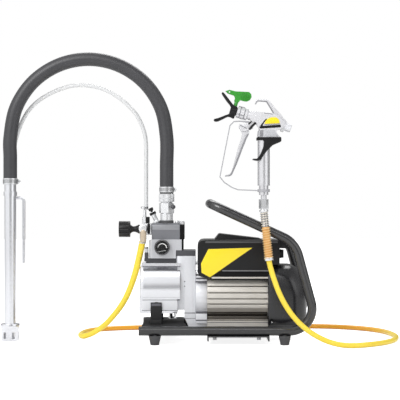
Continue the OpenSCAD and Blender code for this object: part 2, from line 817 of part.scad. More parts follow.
module piston_spring() {
    color(steel) difference() {
        rod_z(piston_low + 3, housing_top - 16, piston_x, 0, 14);
        rod_z(piston_low + 2, housing_top - 15, piston_x, 0, piston_d / 2 + 1);
    }
}
module diaphragm() {
    color(black) rod_z(head_z - 3, head_z, piston_x, 0, diaphragm_d / 2 - seat);
}
module pump_head() {
    color(alloy) difference() {
        slab_y([[head_x0 + 9, head_z], [-108, head_z], [-108, cap_z], [head_x0 + 9, cap_z],
                [head_x0, cap_z - 4], [head_x0, head_z + 4]], -head_y, head_y);
        rod_z(head_z - 1, head_z + 6, piston_x, 0, 28);
        rod_z(head_z - 1, cap_z + 1, inlet_x, inlet_y + 14, 6);
        rod_z(head_z - 1, cap_z + 1, -178, 12, 5);
        for (y = [-head_y, head_y]) translate([head_x0, y, cap_z]) rotate(45)
            cube([head_bevel * sqrt(2), head_bevel * sqrt(2), far], center = true);
        block(-124.5, drive_end, -drive_y - seat, drive_y + seat, head_z - 1,
              drive_top + drive_cap_h + seat);
    }
}
module head_cap() {
    color([0.6, 0.6, 0.63]) difference() {
        block(-194, -113.5, -cap_y, cap_y, cap_z, cap_top);
        rod_z(cap_z - 1, cap_top + 1, inlet_x, inlet_y + 14, 6);
        rod_z(cap_z - 1, cap_z + 24, -178, 12, 5);
        rod_x(-195, -178, 12, knob_z - 8, 5);
    }
}
module side_cover() {
    color(black) {
        block(-113.5, -100.5, -cap_y, cap_y, cap_z, cap_z + 42);
        block(-108, -103, -30, 30, cap_z - 29, cap_z);
    }
}
module inlet_valve() {
    color(alloy) difference() {
        union() {
            rod_z(cap_top, 348, inlet_x, inlet_y, 20);
            rod_z(348, 368, inlet_x, inlet_y, 17);
            rod_z(368, 400, inlet_x, inlet_y, 21.5);
            rod_z(400, 424, inlet_x, inlet_y, 16);
        }
        rod_z(cap_top + 6, 425, inlet_x, inlet_y, 11);
        rod_z(cap_top - 1, cap_top + 7, inlet_x, inlet_y + 6, 4);
    }
}
module union_nut() {
    color(steel) difference() {
        rod_z(400.3, 423.6, inlet_x, inlet_y, 22.4);
        rod_z(400, 424, inlet_x, inlet_y, 16);
    }
}
module on_pusher() {
    translate(pusher_at) rotate([0, -pusher_tilt, 0]) children();
}
module pusher_body() {
    color(steel) difference() {
        union() {
            rod_z(cap_top, cap_top + 7, pusher_at[0], pusher_at[1], 9);
            on_pusher() translate([0, 0, 4]) cylinder(h = 26, r = pusher_r);
            on_pusher() translate([0, 0, 26]) cylinder(h = 10, r = 8.5);
        }
        on_pusher() translate([0, 0, 12]) cylinder(h = 30, r = stem_r + running);
    }
}
module pusher_button() {
    color(black) on_pusher() {
        translate([0, 0, 12 + pusher_travel + 0.5]) cylinder(h = 26, r = stem_r);
        translate([0, 0, collar_top + pusher_travel + 0.5]) cylinder(h = 8, r = button_r);
    }
}
module regulator_body() {
    color(alloy) difference() {
        union() {
            block(regulator_x0, -194, regulator_y0, regulator_y1, regulator_z0, regulator_z1);
            rod_y(regulator_y0 - 9, regulator_y0, outlet_x + 0.5, knob_z, 13.9);
            rod_x(-236, regulator_x0, knob_y, knob_z, 14);
            translate([-236, knob_y, knob_z]) rotate([0, -90, 0]) {
                cylinder(h = 10.5, r1 = 14, r2 = 8);
                translate([0, 0, 10.5]) cylinder(h = 10.5, r1 = 8, r2 = 14);
            }
            rod_x(neck_x - knob_len + 6, neck_x, knob_y, knob_z, spindle_r);
        }
        rod_x(-205, -193, 12, knob_z - 8, 5);
        rod_z(regulator_z0 - 1, regulator_z0 + 12, outlet_x, knob_y, 4);
    }
}
module pressure_knob() {
    color(black) difference() {
        rod_x(neck_x - seat - knob_len, neck_x - seat, knob_y, knob_z, knob_d / 2);
        rod_x(neck_x - knob_len + 5, neck_x + 1, knob_y, knob_z, spindle_r + running);
        for (a = [0:30:330]) translate([0, knob_y, knob_z]) rotate([a, 0, 0])
            rod_x(neck_x - knob_len - 1, neck_x - 6, 0, knob_d / 2 + 1.5, 3);
    }
}
module return_fitting() {
    color(black) {
        block(-218, -202, 1, 17, regulator_z1, 355);
        rod_z(355, 378, return_x, return_y, 4.5);
    }
}
module gauge_case() {
    face = -head_y - gauge_depth;
    color(black) difference() {
        rod_y(face, -head_y, gauge_x, gauge_z, gauge_r);
        rod_y(face - 1, face + gauge_depth - 4, gauge_x, gauge_z, gauge_r - gauge_wall);
        rod_y(face, face + gauge_depth - 1.5, gauge_x, gauge_z, 1.05);
    }
}
module gauge_needle() {
    y_back = -head_y - 4;
    color("white") {
        rod_y(y_back - 3.5, y_back + 2, gauge_x, gauge_z, 1);
        translate([gauge_x, 0, gauge_z]) rotate([0, -135, 0])
            slab_y([[-1.6, -5], [1.6, -5], [0.5, 15], [-0.5, 15]], y_back - 3, y_back - 2);
    }
}
module gauge_glass() {
    face = -head_y - gauge_depth;
    color([0.8, 0.85, 0.9, 0.4]) rod_y(face + 1, face + 2.2, gauge_x, gauge_z,
                                        gauge_r - gauge_wall);
}

// ---- suction and return ----
module suction_hose() {
    color([0.27, 0.27, 0.28]) swept(suction_route, suction_r, 12);
}
module hose_clamp(z0, z1, x, y, r, ear) {
    difference() {
        rod_z(z0, z1, x, y, r + seat + clamp_wall);
        rod_z(z0 - 1, z1 + 1, x, y, r + seat);
    }
    translate([x, y, (z0 + z1) / 2]) rotate([0, 0, ear])
        block(r + seat + clamp_wall - 0.4, r + 9, -5, 5, -3, 3);
}
module hose_clamps() {
    color(steel) {
        hose_clamp(428, 444.4, inlet_x, inlet_y, suction_r, 0);
        hose_clamp(lance_top, lance_top + 18, lance_x, lance_y, suction_r, 0);
        hose_clamp(379, 388, return_x, return_y, return_d / 2, 180);
    }
}
module suction_tube() {
    color(steel) difference() {
        rod_z(lance_low, lance_top, lance_x, lance_y, lance_r);
        rod_z(lance_low - 1, lance_top + 1, lance_x, lance_y, lance_r - lance_wall);
    }
}
module strainer() {
    color(steel) difference() {
        union() {
            rod_z(strainer_h - 13, strainer_h, lance_x, lance_y, 27.6);
            rod_z(0, strainer_h - 12, lance_x, lance_y, 25.5);
        }
        rod_z(-1, strainer_h - 11, lance_x, lance_y, 22.5);
        rod_z(lance_low - 2, strainer_h + 1, lance_x, lance_y, lance_r + running);
        for (a = [0, 60, 120]) translate([lance_x, lance_y, 16]) rotate([0, 0, a])
            cube([80, 9, 18], center = true);
    }
}
module return_pipe() {
    route = [[lance_x, pipe_y, pipe_top], [lance_x, pipe_y, pipe_turn_z],
             [pipe_x, pipe_y, pipe_turn_z], [pipe_x, pipe_y, pipe_low]];
    color(steel) difference() {
        union() {
            bent_rod(route, [0, pipe_bend, pipe_bend, 0], pipe_d / 2);
            rod_z(418, 430, lance_x, lance_y, lance_r + running + 2.4);
            block(lance_x - 6, lance_x + 6, pipe_y - 12, pipe_y + 2, 420, 428);
        }
        bent_rod(route, [0, pipe_bend, pipe_bend, 0], pipe_d / 2 - pipe_wall);
        rod_z(400, 440, lance_x, lance_y, lance_r + running);
    }
}
module return_hose() {
    color([0.86, 0.86, 0.86]) swept(return_route, return_d / 2, 8);
}

// ---- high pressure hose ----
module pressure_hose() {
    color(yellow) swept(pressure_route, pressure_d / 2, 8);
}
module on_guard() {
    translate(guard_foot) rotate([0, -guard_lean, 0]) children();
}
// Spring guard: one wire, its ends run straight into the two collars
guard_mid = (guard_d - guard_wire) / 2;
guard_lead = collar_len;
guard_rise = guard_end - collar_len - 2 * guard_wire;
guard_steps = guard_curls * 8;
guard_line = concat(
    [[guard_mid, 0, guard_lead]],
    [for (i = [0:guard_steps]) [
        guard_mid * cos(45 * i), guard_mid * sin(45 * i),
        guard_lead + guard_wire + guard_rise * i / guard_steps
    ]],
    [[guard_mid * cos(45 * guard_steps), guard_mid * sin(45 * guard_steps), guard_end]]
);
guard_gap = min([
    for (i = [0:guard_steps]) for (j = [i + 6:1:min(i + 12, guard_steps)])
        norm(guard_line[i + 1] - guard_line[j + 1])
]) - guard_wire;
module spring_guard() {
    color(steel) on_guard() swept(guard_line, guard_wire / 2, 6);
}
module hose_ferrules() {
    color(steel) {
        on_guard() difference() {
            cylinder(h = collar_len, r = 12.2);
            translate([0, 0, -1]) cylinder(h = collar_len + 2, r = pressure_d / 2 + seat);
        }
        on_guard() translate([0, 0, swage_at]) cylinder(h = guard_end - swage_at + 12, r = 9);
        on_guard() translate([0, 0, guard_end]) cylinder(h = 6, r = 12.5);
        difference() {
            hex_z(nut_low, nut_high, gun_x, gun_y, 13.5);
            rod_z(nut_low + 12, nut_high + 1, gun_x, gun_y, 8 + running);
        }
        rod_z(286, regulator_z0, outlet_x, knob_y, 9.5);
    }
}

// ---- gun ----
module in_barrel() {
    translate([gun_x, gun_y, barrel_z]) rotate([0, barrel_tilt, 0]) children();
}
module gun_slab(points, w) {
    slab_y(points, gun_y - w / 2, gun_y + w / 2);
}
module gun_body() {
    ear = 3;
    lug = trigger_w + 2 * seat;
    color([0.75, 0.75, 0.77]) difference() {
        union() {
            gun_slab([[84, 645], [100, 650], [142, 646], [179, 627], [186, 601],
                      [170, grip_high], [103, grip_high], [103, 604], [84, 622]], gun_w);
            in_barrel() rod_x(-46, -20, 0, 0, 12.5);
            in_barrel() rod_x(-62, -46, 0, 0, 11);
            in_barrel() rod_x(60, 80, 0, 0, 12);
            in_barrel() translate([58, 0, -16]) rotate([90, 0, 0])
                cylinder(h = gun_w + 8, r = 6, center = true, $fn = 6);
            for (s = [-1, 1]) slab_y([[90, 622], [58, 614], [57, 600], [66, 597], [90, 604]],
                gun_y + (s < 0 ? -lug / 2 - ear : lug / 2), gun_y + (s < 0 ? -lug / 2 : lug / 2 + ear));
            rod_y(gun_y - lug / 2 - ear, gun_y + lug / 2 + ear, pivot_at[0], pivot_at[1], pivot_d / 2);
        }
        in_barrel() rod_x(-63, 66, 0, 0, needle_d / 2 + running);
        rod_z(576, 584, gun_x, gun_y, 6);
        rod_y(gun_y - gun_w / 2 - 1, gun_y - gun_w / 2 + 6, lock_at[0], lock_at[1], 2 + running);
    }
}
module gun_grip() {
    color(alloy) difference() {
        union() {
            rod_z(grip_step, grip_high, gun_x, gun_y, grip_d / 2);
            rod_z(grip_low, grip_step, gun_x, gun_y, 13);
            rod_z(nut_low + 12.3, grip_low, gun_x, gun_y, 8);
        }
        rod_z(nut_low, grip_high + 1, gun_x, gun_y, 4);
    }
}
module hand_rest() {
    color(black) difference() {
        gun_slab([[102.4, 580], [169.7, 580], [169.7, 568], [147, 558.5], [130, 542],
                  [120.5, 529.5], [111.5, 517], [103, 514.5], [90.5, 517.5], [91, 521],
                  [103, 522], [111, 533], [118, 551], [121, 568], [118, 571.5],
                  [102.4, 571.5]], grip_d + 5);
        rod_z(500, 600, gun_x, gun_y, grip_d / 2);
        block(142, 180, gun_y - 30, gun_y - gun_w / 2, 500, 581);
        block(142, 180, gun_y + gun_w / 2, gun_y + 30, 500, 581);
    }
}
module gun_hook() {
    color([0.7, 0.7, 0.72]) gun_slab([
        [182, 626], [134, 686], [101, 686], [95, 673], [101, 670], [106, 679],
        [126, 679], [154, 640.1], [179, 627.2]
    ], 8);
}
module trigger() {
    color([0.7, 0.7, 0.72]) difference() {
        gun_slab([[54, 617], [68, 615], [78, 606], [82, 594], [79.5, 586], [74.5, 577],
                  [63, 548], [47, 505.5], [33.5, 476], [28.7, 472], [14, 471],
                  [14, 474.5], [27, 478], [32, 484], [38.5, 505.5], [49, 548],
                  [56.5, 569.5], [62, 590], [57, 600], [52, 608]], trigger_w);
        rod_y(gun_y - 20, gun_y + 20, pivot_at[0], pivot_at[1], pivot_d / 2 + running);
    }
}
trigger_guard_line = [[80, 614], [56, 625], [39, 624], [28, 613], [0, 470], [12, 455],
                      [33, 441], [50, 434.5], [109, 432]];
module trigger_guard() {
    color(alloy) difference() {
        union() {
            slab_y(ribbon([for (i = [1:8]) trigger_guard_line[i]], guard_strip),
                   gun_y - 5, gun_y + 5);
            slab_y([[86, 622], [80, 624.8], [56, 626.5], [56, 623.5], [80, 620], [86, 618]],
                   gun_y - 5, gun_y + 5);
            rod_z(428, 436, gun_x, gun_y, 17);
        }
        rod_z(420, 440, gun_x, gun_y, 13);
        block(84, 90, gun_y - 6, gun_y + 6, 610, 630);
    }
}
module trigger_lock() {
    y1 = gun_y - gun_w / 2 - seat;
    color(black) {
        translate([lock_at[0], 0, lock_at[1]]) rotate([0, 45, 0])
            block(-4, 4, y1 - 4, y1, -13, 15);
        rod_y(y1 - 2, y1 + 5, lock_at[0], lock_at[1], 2);
    }
}
module needle_rod() {
    color(steel) in_barrel() rod_x(-59, 61, 0, 0, needle_d / 2);
}
module tip_nut() {
    color(alloy) in_barrel() difference() {
        rod_x(-77, -46.3, 0, 0, tip_nut_d / 2);
        rod_x(-78, -46, 0, 0, 11 + running);
    }
}
module tip_guard() {
    color(black) in_barrel() {
        difference() {
            union() {
                rod_x(-97, -77.3, 0, 0, 13);
                rod_x(-77.5, -66, 0, 0, 11);
                for (s = [-1, 1]) slab_y([[-93, s * 6], [-108, s * 16], [-132, s * 37],
                    [-133, s * 40.5], [-130, s * 42.5], [-126.5, s * 41.5],
                    [-90, s * 12.8]], -9, 9);
            }
            rod_x(-100, -60, 0, 0, 3);
            translate([tip_x, 0, -20]) cylinder(h = 60, r = 5.2 + running);
            rod_z(15, 44, tip_x, 0, 5.5);
        }
    }
}
module spray_tip() {
    color(green) in_barrel() {
        difference() {
            union() {
                rod_z(-9, 34, tip_x, 0, 5.2);
                slab_y([[-92.8, 26], [-80, 26], [-77, 33.5], [-66, 33.5], [-58, 35],
                        [-51, 41.5], [-49, 50], [-52.4, 58], [-60, 62], [-75, 58.5],
                        [-96, 53.5], [-113.5, 53], [-123.5, 46.5], [-115, 42],
                        [-97, 41], [-92.8, 35.5]], -5, 5);
            }
            rod_y(-6, 6, -112, 47.6, 2.2);
            rod_x(tip_x - 8, tip_x + 8, 0, 0, 1.5);
        }
    }
}

echo(guard_gap_to_itself = guard_gap, suction_length = route_length(suction_route),
     return_length = route_length(return_route), pressure_length = route_length(pressure_route));

carry_frame();
feet_and_plugs();
base_plate();
pump_brackets();
motor_bracket();
hex_bolts();
motor_body();
stator();
motor_shields();
bearings();
fan_cowl();
motor_cover();
cover_badge();
cable_gland();
drive_housing();
drive_cover();
drive_cap();
hydraulic_housing();
oil_plugs();
head_gasket();
hydraulic_piston();
piston_spring();
diaphragm();
pump_head();
head_cap();
side_cover();
inlet_valve();
union_nut();
pusher_body();
regulator_body();
return_fitting();
gauge_case();
gauge_glass();
suction_hose();
hose_clamps();
suction_tube();
strainer();
return_hose();
return_pipe();
pressure_hose();
spring_guard();
hose_ferrules();
rotor_shaft();
cooling_fan();
crankshaft();
pressure_knob();
pusher_button();
power_switch();
gauge_needle();
gun_body();
gun_grip();
hand_rest();
gun_hook();
trigger();
trigger_guard();
trigger_lock();
needle_rod();
tip_nut();
tip_guard();
spray_tip();
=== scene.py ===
"""Looks of an airless paint sprayer: materials, hoses, rounded castings, lights and camera."""
import math

import bmesh
import bpy
from mathutils import Matrix, Vector


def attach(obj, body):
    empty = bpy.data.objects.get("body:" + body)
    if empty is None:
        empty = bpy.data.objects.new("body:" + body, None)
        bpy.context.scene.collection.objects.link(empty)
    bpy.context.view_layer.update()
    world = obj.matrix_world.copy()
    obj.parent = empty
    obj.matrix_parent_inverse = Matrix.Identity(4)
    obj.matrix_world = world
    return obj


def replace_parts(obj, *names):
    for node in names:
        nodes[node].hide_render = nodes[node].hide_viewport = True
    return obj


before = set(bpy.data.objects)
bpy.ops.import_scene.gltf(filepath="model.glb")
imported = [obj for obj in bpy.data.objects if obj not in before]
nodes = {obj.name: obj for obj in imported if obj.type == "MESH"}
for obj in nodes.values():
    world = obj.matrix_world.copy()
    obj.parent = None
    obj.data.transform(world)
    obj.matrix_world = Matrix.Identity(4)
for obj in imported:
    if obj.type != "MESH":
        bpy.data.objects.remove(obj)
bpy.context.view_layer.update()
MM = 0.001

# ---- camera ----
IMAGE_PX = 400
FOCAL_PX = 1214
SENSOR_MM = 36
CAMERA_AT = Vector((-0.0554, -3.540, 0.406))


def make_camera():
    data = bpy.data.cameras.new("camera")
    data.sensor_width = SENSOR_MM
    data.lens = SENSOR_MM * FOCAL_PX / IMAGE_PX
    data.clip_end = 50
    camera = bpy.data.objects.new("camera", data)
    camera.location = CAMERA_AT
    camera.rotation_euler = (math.pi / 2, 0, 0)
    bpy.context.scene.collection.objects.link(camera)
    bpy.context.scene.camera = camera


make_camera()


# ---- mesh helpers ----
def piece(name, mesh, material, body="root", slot=None, smooth_angle=35):
    """A named mesh object in the row frame that rides on a body."""
    mesh.name = name
    mesh.set_sharp_from_angle(angle=math.radians(smooth_angle))
    obj = bpy.data.objects.new(name, mesh)
    bpy.context.scene.collection.objects.link(obj)
    mesh.materials.append(material)
    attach(obj, body)
    return obj


def to_mesh(bm):
    mesh = bpy.data.meshes.new("mesh")
    bmesh.ops.recalc_face_normals(bm, faces=bm.faces)
    for face in bm.faces:
        face.smooth = True
    bm.to_mesh(mesh)
    bm.free()
    return mesh


def round_edges(bm, width, segments=2, min_angle=25):
    """Rounds every edge sharper than min_angle degrees."""
    limit = math.radians(min_angle)
    sharp = [e for e in bm.edges if len(e.link_faces) == 2 and e.calc_face_angle(0) > limit]
    bmesh.ops.bevel(bm, geom=sharp, offset=width, offset_type="OFFSET", segments=segments,
                    profile=0.5, affect="EDGES", clamp_overlap=True)


def skin(bm, rings, closed_ring=False):
    """Joins rings of vertices into one wall, with a cap at each end unless it closes on itself."""
    pairs = list(zip(rings, rings[1:]))
    if closed_ring:
        pairs.append((rings[-1], rings[0]))
    else:
        bm.faces.new(list(reversed(rings[0])))
        bm.faces.new(rings[-1])
    for a, b in pairs:
        for k in range(len(a)):
            j = (k + 1) % len(a)
            bm.faces.new((a[k], a[j], b[j], b[k]))


def add_slab(bm, outline, y0, y1, width=0.0, segments=2):
    """An XZ outline in mm, given a depth along Y in mm and rounded edges."""
    part = bmesh.new()
    low, high = ([part.verts.new((x * MM, y * MM, z * MM)) for x, z in outline] for y in (y0, y1))
    skin(part, [high, low])
    bmesh.ops.recalc_face_normals(part, faces=part.faces)
    if width:
        round_edges(part, width * MM, segments)
    merge(bm, part)


def add_box(bm, low, high, width=0.0, segments=2, matrix=None):
    part = bmesh.new()
    bmesh.ops.create_cube(part, size=1)
    for v in part.verts:
        v.co = Vector([(low[k] + (v.co[k] + 0.5) * (high[k] - low[k])) * MM for k in range(3)])
    if width:
        round_edges(part, width * MM, segments)
    if matrix is not None:
        part.transform(matrix)
    merge(bm, part)


def merge(bm, part):
    """Copies part into bm and frees it."""
    mesh = bpy.data.meshes.new("part")
    part.to_mesh(mesh)
    part.free()
    bm.from_mesh(mesh)
    bpy.data.meshes.remove(mesh)


def angles(count):
    """Evenly spaced angles of one turn."""
    return [2 * math.pi * k / count for k in range(count)]


def add_turned(bm, profile, origin, axis, sides=48, closed_ring=False):
    """Turns (distance along axis, radius) pairs in mm about an axis through origin in mm."""
    part = bmesh.new()
    w = Vector(axis).normalized()
    u = w.orthogonal().normalized()
    v = w.cross(u)
    rings = []
    for along, radius in profile:
        centre = Vector(origin) + w * along
        rings.append([part.verts.new((centre + (u * math.cos(a) + v * math.sin(a)) * radius) * MM)
                      for a in angles(sides)])
    skin(part, rings, closed_ring)
    bmesh.ops.recalc_face_normals(part, faces=part.faces)
    merge(bm, part)


def smooth_path(points, step):
    """Evenly spaced points, in metres, on a smooth curve through given points in mm."""
    p = [Vector(q) * MM for q in points]
    p = [2 * p[0] - p[1]] + p + [2 * p[-1] - p[-2]]
    fine = []
    for a, b, c, d in zip(p, p[1:], p[2:], p[3:]):
        for k in range(24):
            t = k / 24
            fine.append(0.5 * (2 * b + (c - a) * t + (2 * a - 5 * b + 4 * c - d) * t ** 2
                               + (3 * b - a - 3 * c + d) * t ** 3))
    fine.append(p[-2])
    total = sum((b - a).length for a, b in zip(fine, fine[1:]))
    count = max(2, round(total / step))
    even, gone, target = [fine[0]], 0.0, total / count
    for a, b in zip(fine, fine[1:]):
        run = (b - a).length
        while gone + run >= target - 1e-9 and len(even) < count:
            even.append(a + (b - a) * ((target - gone) / run))
            target += total / count
        gone += run
    even.append(fine[-1])
    return even


def tube_mesh(path, radius, sides=24):
    """A closed tube along a path; radius is a number or a function of (ring, angle)."""
    size = radius if callable(radius) else (lambda ring, angle: radius)
    bm = bmesh.new()
    rings, side = [], None
    for i, at in enumerate(path):
        ahead = (path[min(i + 1, len(path) - 1)] - path[max(i - 1, 0)]).normalized()
        side = ahead.orthogonal() if side is None else side - ahead * side.dot(ahead)
        side.normalize()
        other = ahead.cross(side)
        rings.append([bm.verts.new(at + (side * math.cos(a) + other * math.sin(a)) * size(i, a))
                      for a in angles(sides)])
    skin(bm, rings)
    return to_mesh(bm)


# ---- materials ----
class Tree:
    """Short ways to add and join the nodes of one material or world."""

    def __init__(self, owner):
        owner.use_nodes = True
        self.nodes = owner.node_tree.nodes
        self.links = owner.node_tree.links

    def fill(self, node, inputs):
        """Joins each input to a socket, or gives it a constant."""
        for key, item in inputs.items():
            if isinstance(item, bpy.types.NodeSocket):
                self.links.new(item, node.inputs[key])
            else:
                node.inputs[key].default_value = item

    def add(self, kind, inputs=None, **values):
        node = self.nodes.new("ShaderNode" + kind)
        for name, value in values.items():
            setattr(node, name, value)
        self.fill(node, inputs or {})
        return node

    def value(self, operation, a, b):
        """A math node on two sockets or numbers."""
        return self.add("Math", {0: a, 1: b}, operation=operation).outputs["Value"]

    def ramp(self, source, low, high, stops):
        """Greys along a socket that runs from low to high."""
        reach = self.add("MapRange", {"Value": source, "From Min": low, "From Max": high})
        node = self.add("ValToRGB", {"Fac": reach.outputs["Result"]})
        node.color_ramp.interpolation = "EASE"
        for _ in stops[2:]:
            node.color_ramp.elements.new(0.5)
        for element, (at, grey) in zip(node.color_ramp.elements, stops):
            element.position = at
            element.color = (grey, grey, grey, 1)
        return node.outputs["Color"]

    def rays(self):
        """Two sockets: seen by the camera, straight or through glass, and seen in a mirror."""
        path = self.add("LightPath").outputs
        clear = self.value("MAXIMUM", path["Is Camera Ray"], path["Is Transmission Ray"])
        return clear, path["Is Glossy Ray"]


PATCH_SCALE = 14
RELIEF_DEPTH = 0.0003
COAT_ROUGHNESS = 0.1


def linear(colour):
    """sRGB 0..255 to linear."""
    return [((c / 255 + 0.055) / 1.055) ** 2.4 if c > 10 else c / 255 / 12.92 for c in colour]


def shade(colour, factor):
    return [min(1.0, c * factor) for c in colour] + [1.0]


def material(name, colour, rough, metallic=0.0, vary=0.12, grain=180, stretch=(1, 1, 1),
             rough_vary=0.08, bump=0.15, bump_scale=900, coat=0.0, specular=0.5):
    """A finish whose colour drifts in patches, whose gloss varies with a grain, and whose
    surface has a fine relief."""
    mat = bpy.data.materials.new(name)
    tree = Tree(mat)
    place = tree.add("TexCoord").outputs["Object"]
    place = tree.add("Mapping", {"Vector": place, "Scale": stretch}).outputs["Vector"]

    def noise(scale, detail):
        return tree.add("TexNoise", {"Vector": place, "Scale": scale,
                                     "Detail": detail}).outputs["Fac"]

    grains = noise(grain, 6)
    blend = tree.value("ADD", tree.value("MULTIPLY", noise(PATCH_SCALE, 4), 0.5),
                       tree.value("MULTIPLY", grains, 0.5))
    ramp = tree.add("ValToRGB", {"Fac": blend})
    for element, at, factor in zip(ramp.color_ramp.elements, (0.3, 0.7), (1 - vary, 1 + vary)):
        element.position = at
        element.color = shade(linear(colour), factor)
    gloss = tree.add("MapRange", {"Value": grains, "To Min": max(0.02, rough - rough_vary),
                                  "To Max": min(1.0, rough + rough_vary)})
    relief = tree.add("Bump", {"Strength": bump, "Distance": RELIEF_DEPTH,
                               "Height": noise(bump_scale, 3)})
    tree.fill(tree.nodes["Principled BSDF"], {
        "Base Color": ramp.outputs["Color"], "Roughness": gloss.outputs["Result"],
        "Normal": relief.outputs["Normal"], "Metallic": metallic, "Coat Weight": coat,
        "Coat Roughness": COAT_ROUGHNESS, "Specular IOR Level": specular})
    return mat


def glass(name, tint, rough):
    mat = bpy.data.materials.new(name)
    tree = Tree(mat)
    tree.fill(tree.nodes["Principled BSDF"], {
        "Base Color": linear(tint) + [1], "Roughness": rough, "Transmission Weight": 1.0,
        "IOR": 1.45})
    return mat


PAINT = material("satin_black_paint", (36, 36, 38), 0.22, bump=0.1, bump_scale=500, specular=0.8,
                 rough_vary=0.03)
PLATE = material("plate_black", (52, 52, 53), 0.6, specular=0.04)
RUBBER = material("black_rubber", (72, 72, 74), 0.7, bump=0.3, bump_scale=700)
PLASTIC = material("moulded_black", (14, 14, 16), 0.36, bump=0.3, bump_scale=1400, rough_vary=0.05,
                   specular=0.32)
COWL = material("cowl_black", (30, 30, 33), 0.26, bump=0.2, bump_scale=1400, rough_vary=0.05,
                specular=0.6)
# Painted highlight: a light grey for the lit lower lip of the cover and the lit rim of the gauge
# bezel.
EDGE_HIGHLIGHT = material("cover_lip", (112, 112, 114), 0.5)
LABEL = material("bare_yellow_label", (255, 227, 36), 0.35, vary=0.02, bump=0.05, coat=0.2)
TRIM = material("dark_label_rim", (60, 55, 30), 0.5)
FINS = material("finned_alloy", (206, 202, 195), 0.45, metallic=0.15, stretch=(0.2, 1, 1),
                bump=0.2, bump_scale=600)
# Painted shade: a dark brown for the shaded underside of the motor.
BELLY = material("shaded_alloy", (62, 56, 50), 0.6, stretch=(0.2, 1, 1))
ALLOY = material("cast_alloy", (226, 227, 231), 0.42, metallic=0.15, vary=0.04, bump=0.25,
                 bump_scale=800)
BRIGHT = material("turned_alloy", (220, 221, 225), 0.18, metallic=0.9, vary=0.01, bump=0.0,
                  rough_vary=0.02)
# Grey painted as shade in creases, under ledges and in recesses, and as a highlight on the top of
# the black pump bracket.
SHADE_AND_HIGHLIGHT_GREY = material("shade_and_highlight_grey", (104, 104, 110), 0.7, specular=0.1)
# Also used for black pieces painted as shadow: under the cover and beside the drive foot.
BLACK = material("deep_black", (12, 12, 13), 0.5, specular=0.15)
MACHINED = material("machined_steel", (226, 227, 229), 0.27, metallic=0.7, vary=0.05,
                    stretch=(1, 1, 9), grain=260, bump=0.1)
FACE = material("machined_face", (198, 199, 203), 0.36, metallic=0.35, vary=0.05, bump=0.1)
DARK_ALLOY = material("grey_alloy", (78, 78, 82), 0.42, metallic=0.3, vary=0.08, bump=0.25)
BLOCK = material("valve_block", (122, 123, 128), 0.4, metallic=0.3, vary=0.05, bump=0.15)
BAND = material("valve_block_band", (150, 151, 155), 0.4, metallic=0.3, vary=0.05, bump=0.15)
GASKET = material("dark_ring", (58, 58, 62), 0.55, bump=0.3)
STEEL = material("bright_steel", (222, 223, 225), 0.24, metallic=0.75, vary=0.05, grain=300,
                 bump=0.1)
STAINLESS = material("stainless_tube", (224, 225, 229), 0.2, metallic=0.85, vary=0.04,
                     stretch=(6, 6, 0.4), grain=200, bump=0.05)
SUCTION = material("suction_rubber", (58, 58, 61), 0.42, vary=0.16, bump=0.6, bump_scale=420)
CLEAR = material("clear_hose", (222, 223, 224), 0.3, vary=0.03, coat=0.4)
HOSE = material("yellow_hose", (252, 222, 66), 0.34, vary=0.05, coat=0.2, bump=0.1)
SLEEVE = material("orange_sleeve", (226, 172, 98), 0.5, vary=0.06)
AMBER = material("amber_wire", (240, 208, 150), 0.4, vary=0.06)
FERRULE = material("nickel_ferrule", (200, 184, 162), 0.4, metallic=0.25, vary=0.06)
SPRING = material("spring_wire", (236, 228, 214), 0.3, metallic=0.45, bump=0.05)
GAUGE = material("gauge_black", (22, 22, 24), 0.5, specular=0.15)
DIAL = material("gauge_dial", (14, 14, 15), 0.8, specular=0.05)
WHITE = material("white_marks", (240, 240, 240), 0.5, vary=0.02)
GREEN = material("green_tip", (46, 146, 38), 0.4, vary=0.1, coat=0.1)
GREEN_DARK = material("green_lobe", (34, 132, 24), 0.4, vary=0.05)
GUN = material("gun_alloy", (217, 217, 220), 0.34, metallic=0.25, vary=0.04, bump=0.1)
WIRE = material("guard_strip", (172, 172, 176), 0.4, metallic=0.2)
# Painted shade: a grey for the lower fins of the motor, and a darker grey for lit edges within its
# shaded underside.
MID = material("fin_shade", (146, 141, 134), 0.6, stretch=(0.2, 1, 1))
SHADE = material("fin_shade_dark", (108, 103, 95), 0.6, stretch=(0.2, 1, 1))
# Painted highlight along the rounded top edge of the black cover.
COVER_TOP_HIGHLIGHT = material("cover_top_highlight", (74, 74, 76), 0.5)
GUN_LINE = material("gun_shadow_grey", (138, 138, 142), 0.5)
GRIP = material("grip_alloy", (214, 214, 217), 0.24, metallic=0.75, vary=0.05,
                stretch=(1, 1, 0.2), bump=0.05)
CORE = material("laminated_core", (92, 70, 58), 0.6, stretch=(20, 1, 1))
# Painted highlight on the chamfered front edge of the pump head.
BEVEL = material("chamfer_highlight_white", (253, 253, 253), 0.4, vary=0.0)
GUARD_TUBE = material("guard_tube", (176, 174, 172), 0.2, metallic=0.9, vary=0.1)
WINDOW = glass("gauge_window", (245, 250, 252), 0.04)


def tint_along_y(mat, colour, y0, y1):
    """Fades the base colour to another one between two places along Y, in metres."""
    tree = Tree(mat)
    shader = tree.nodes["Principled BSDF"]
    first = shader.inputs["Base Color"].links[0].from_socket
    place = tree.add("SeparateXYZ", {"Vector": tree.add("TexCoord").outputs["Object"]})
    reach = tree.add("MapRange", {"Value": place.outputs["Y"], "From Min": y0, "From Max": y1})
    mix = tree.add("Mix", {0: reach.outputs["Result"], 6: first, 7: linear(colour) + [1]},
                   data_type="RGBA")
    tree.fill(shader, {"Base Color": mix.outputs[2]})


# Painted shade: the far strands of the pressure hose, behind the machine, fade to a darker orange.
tint_along_y(HOSE, (250, 176, 44), 0.05, 0.22)

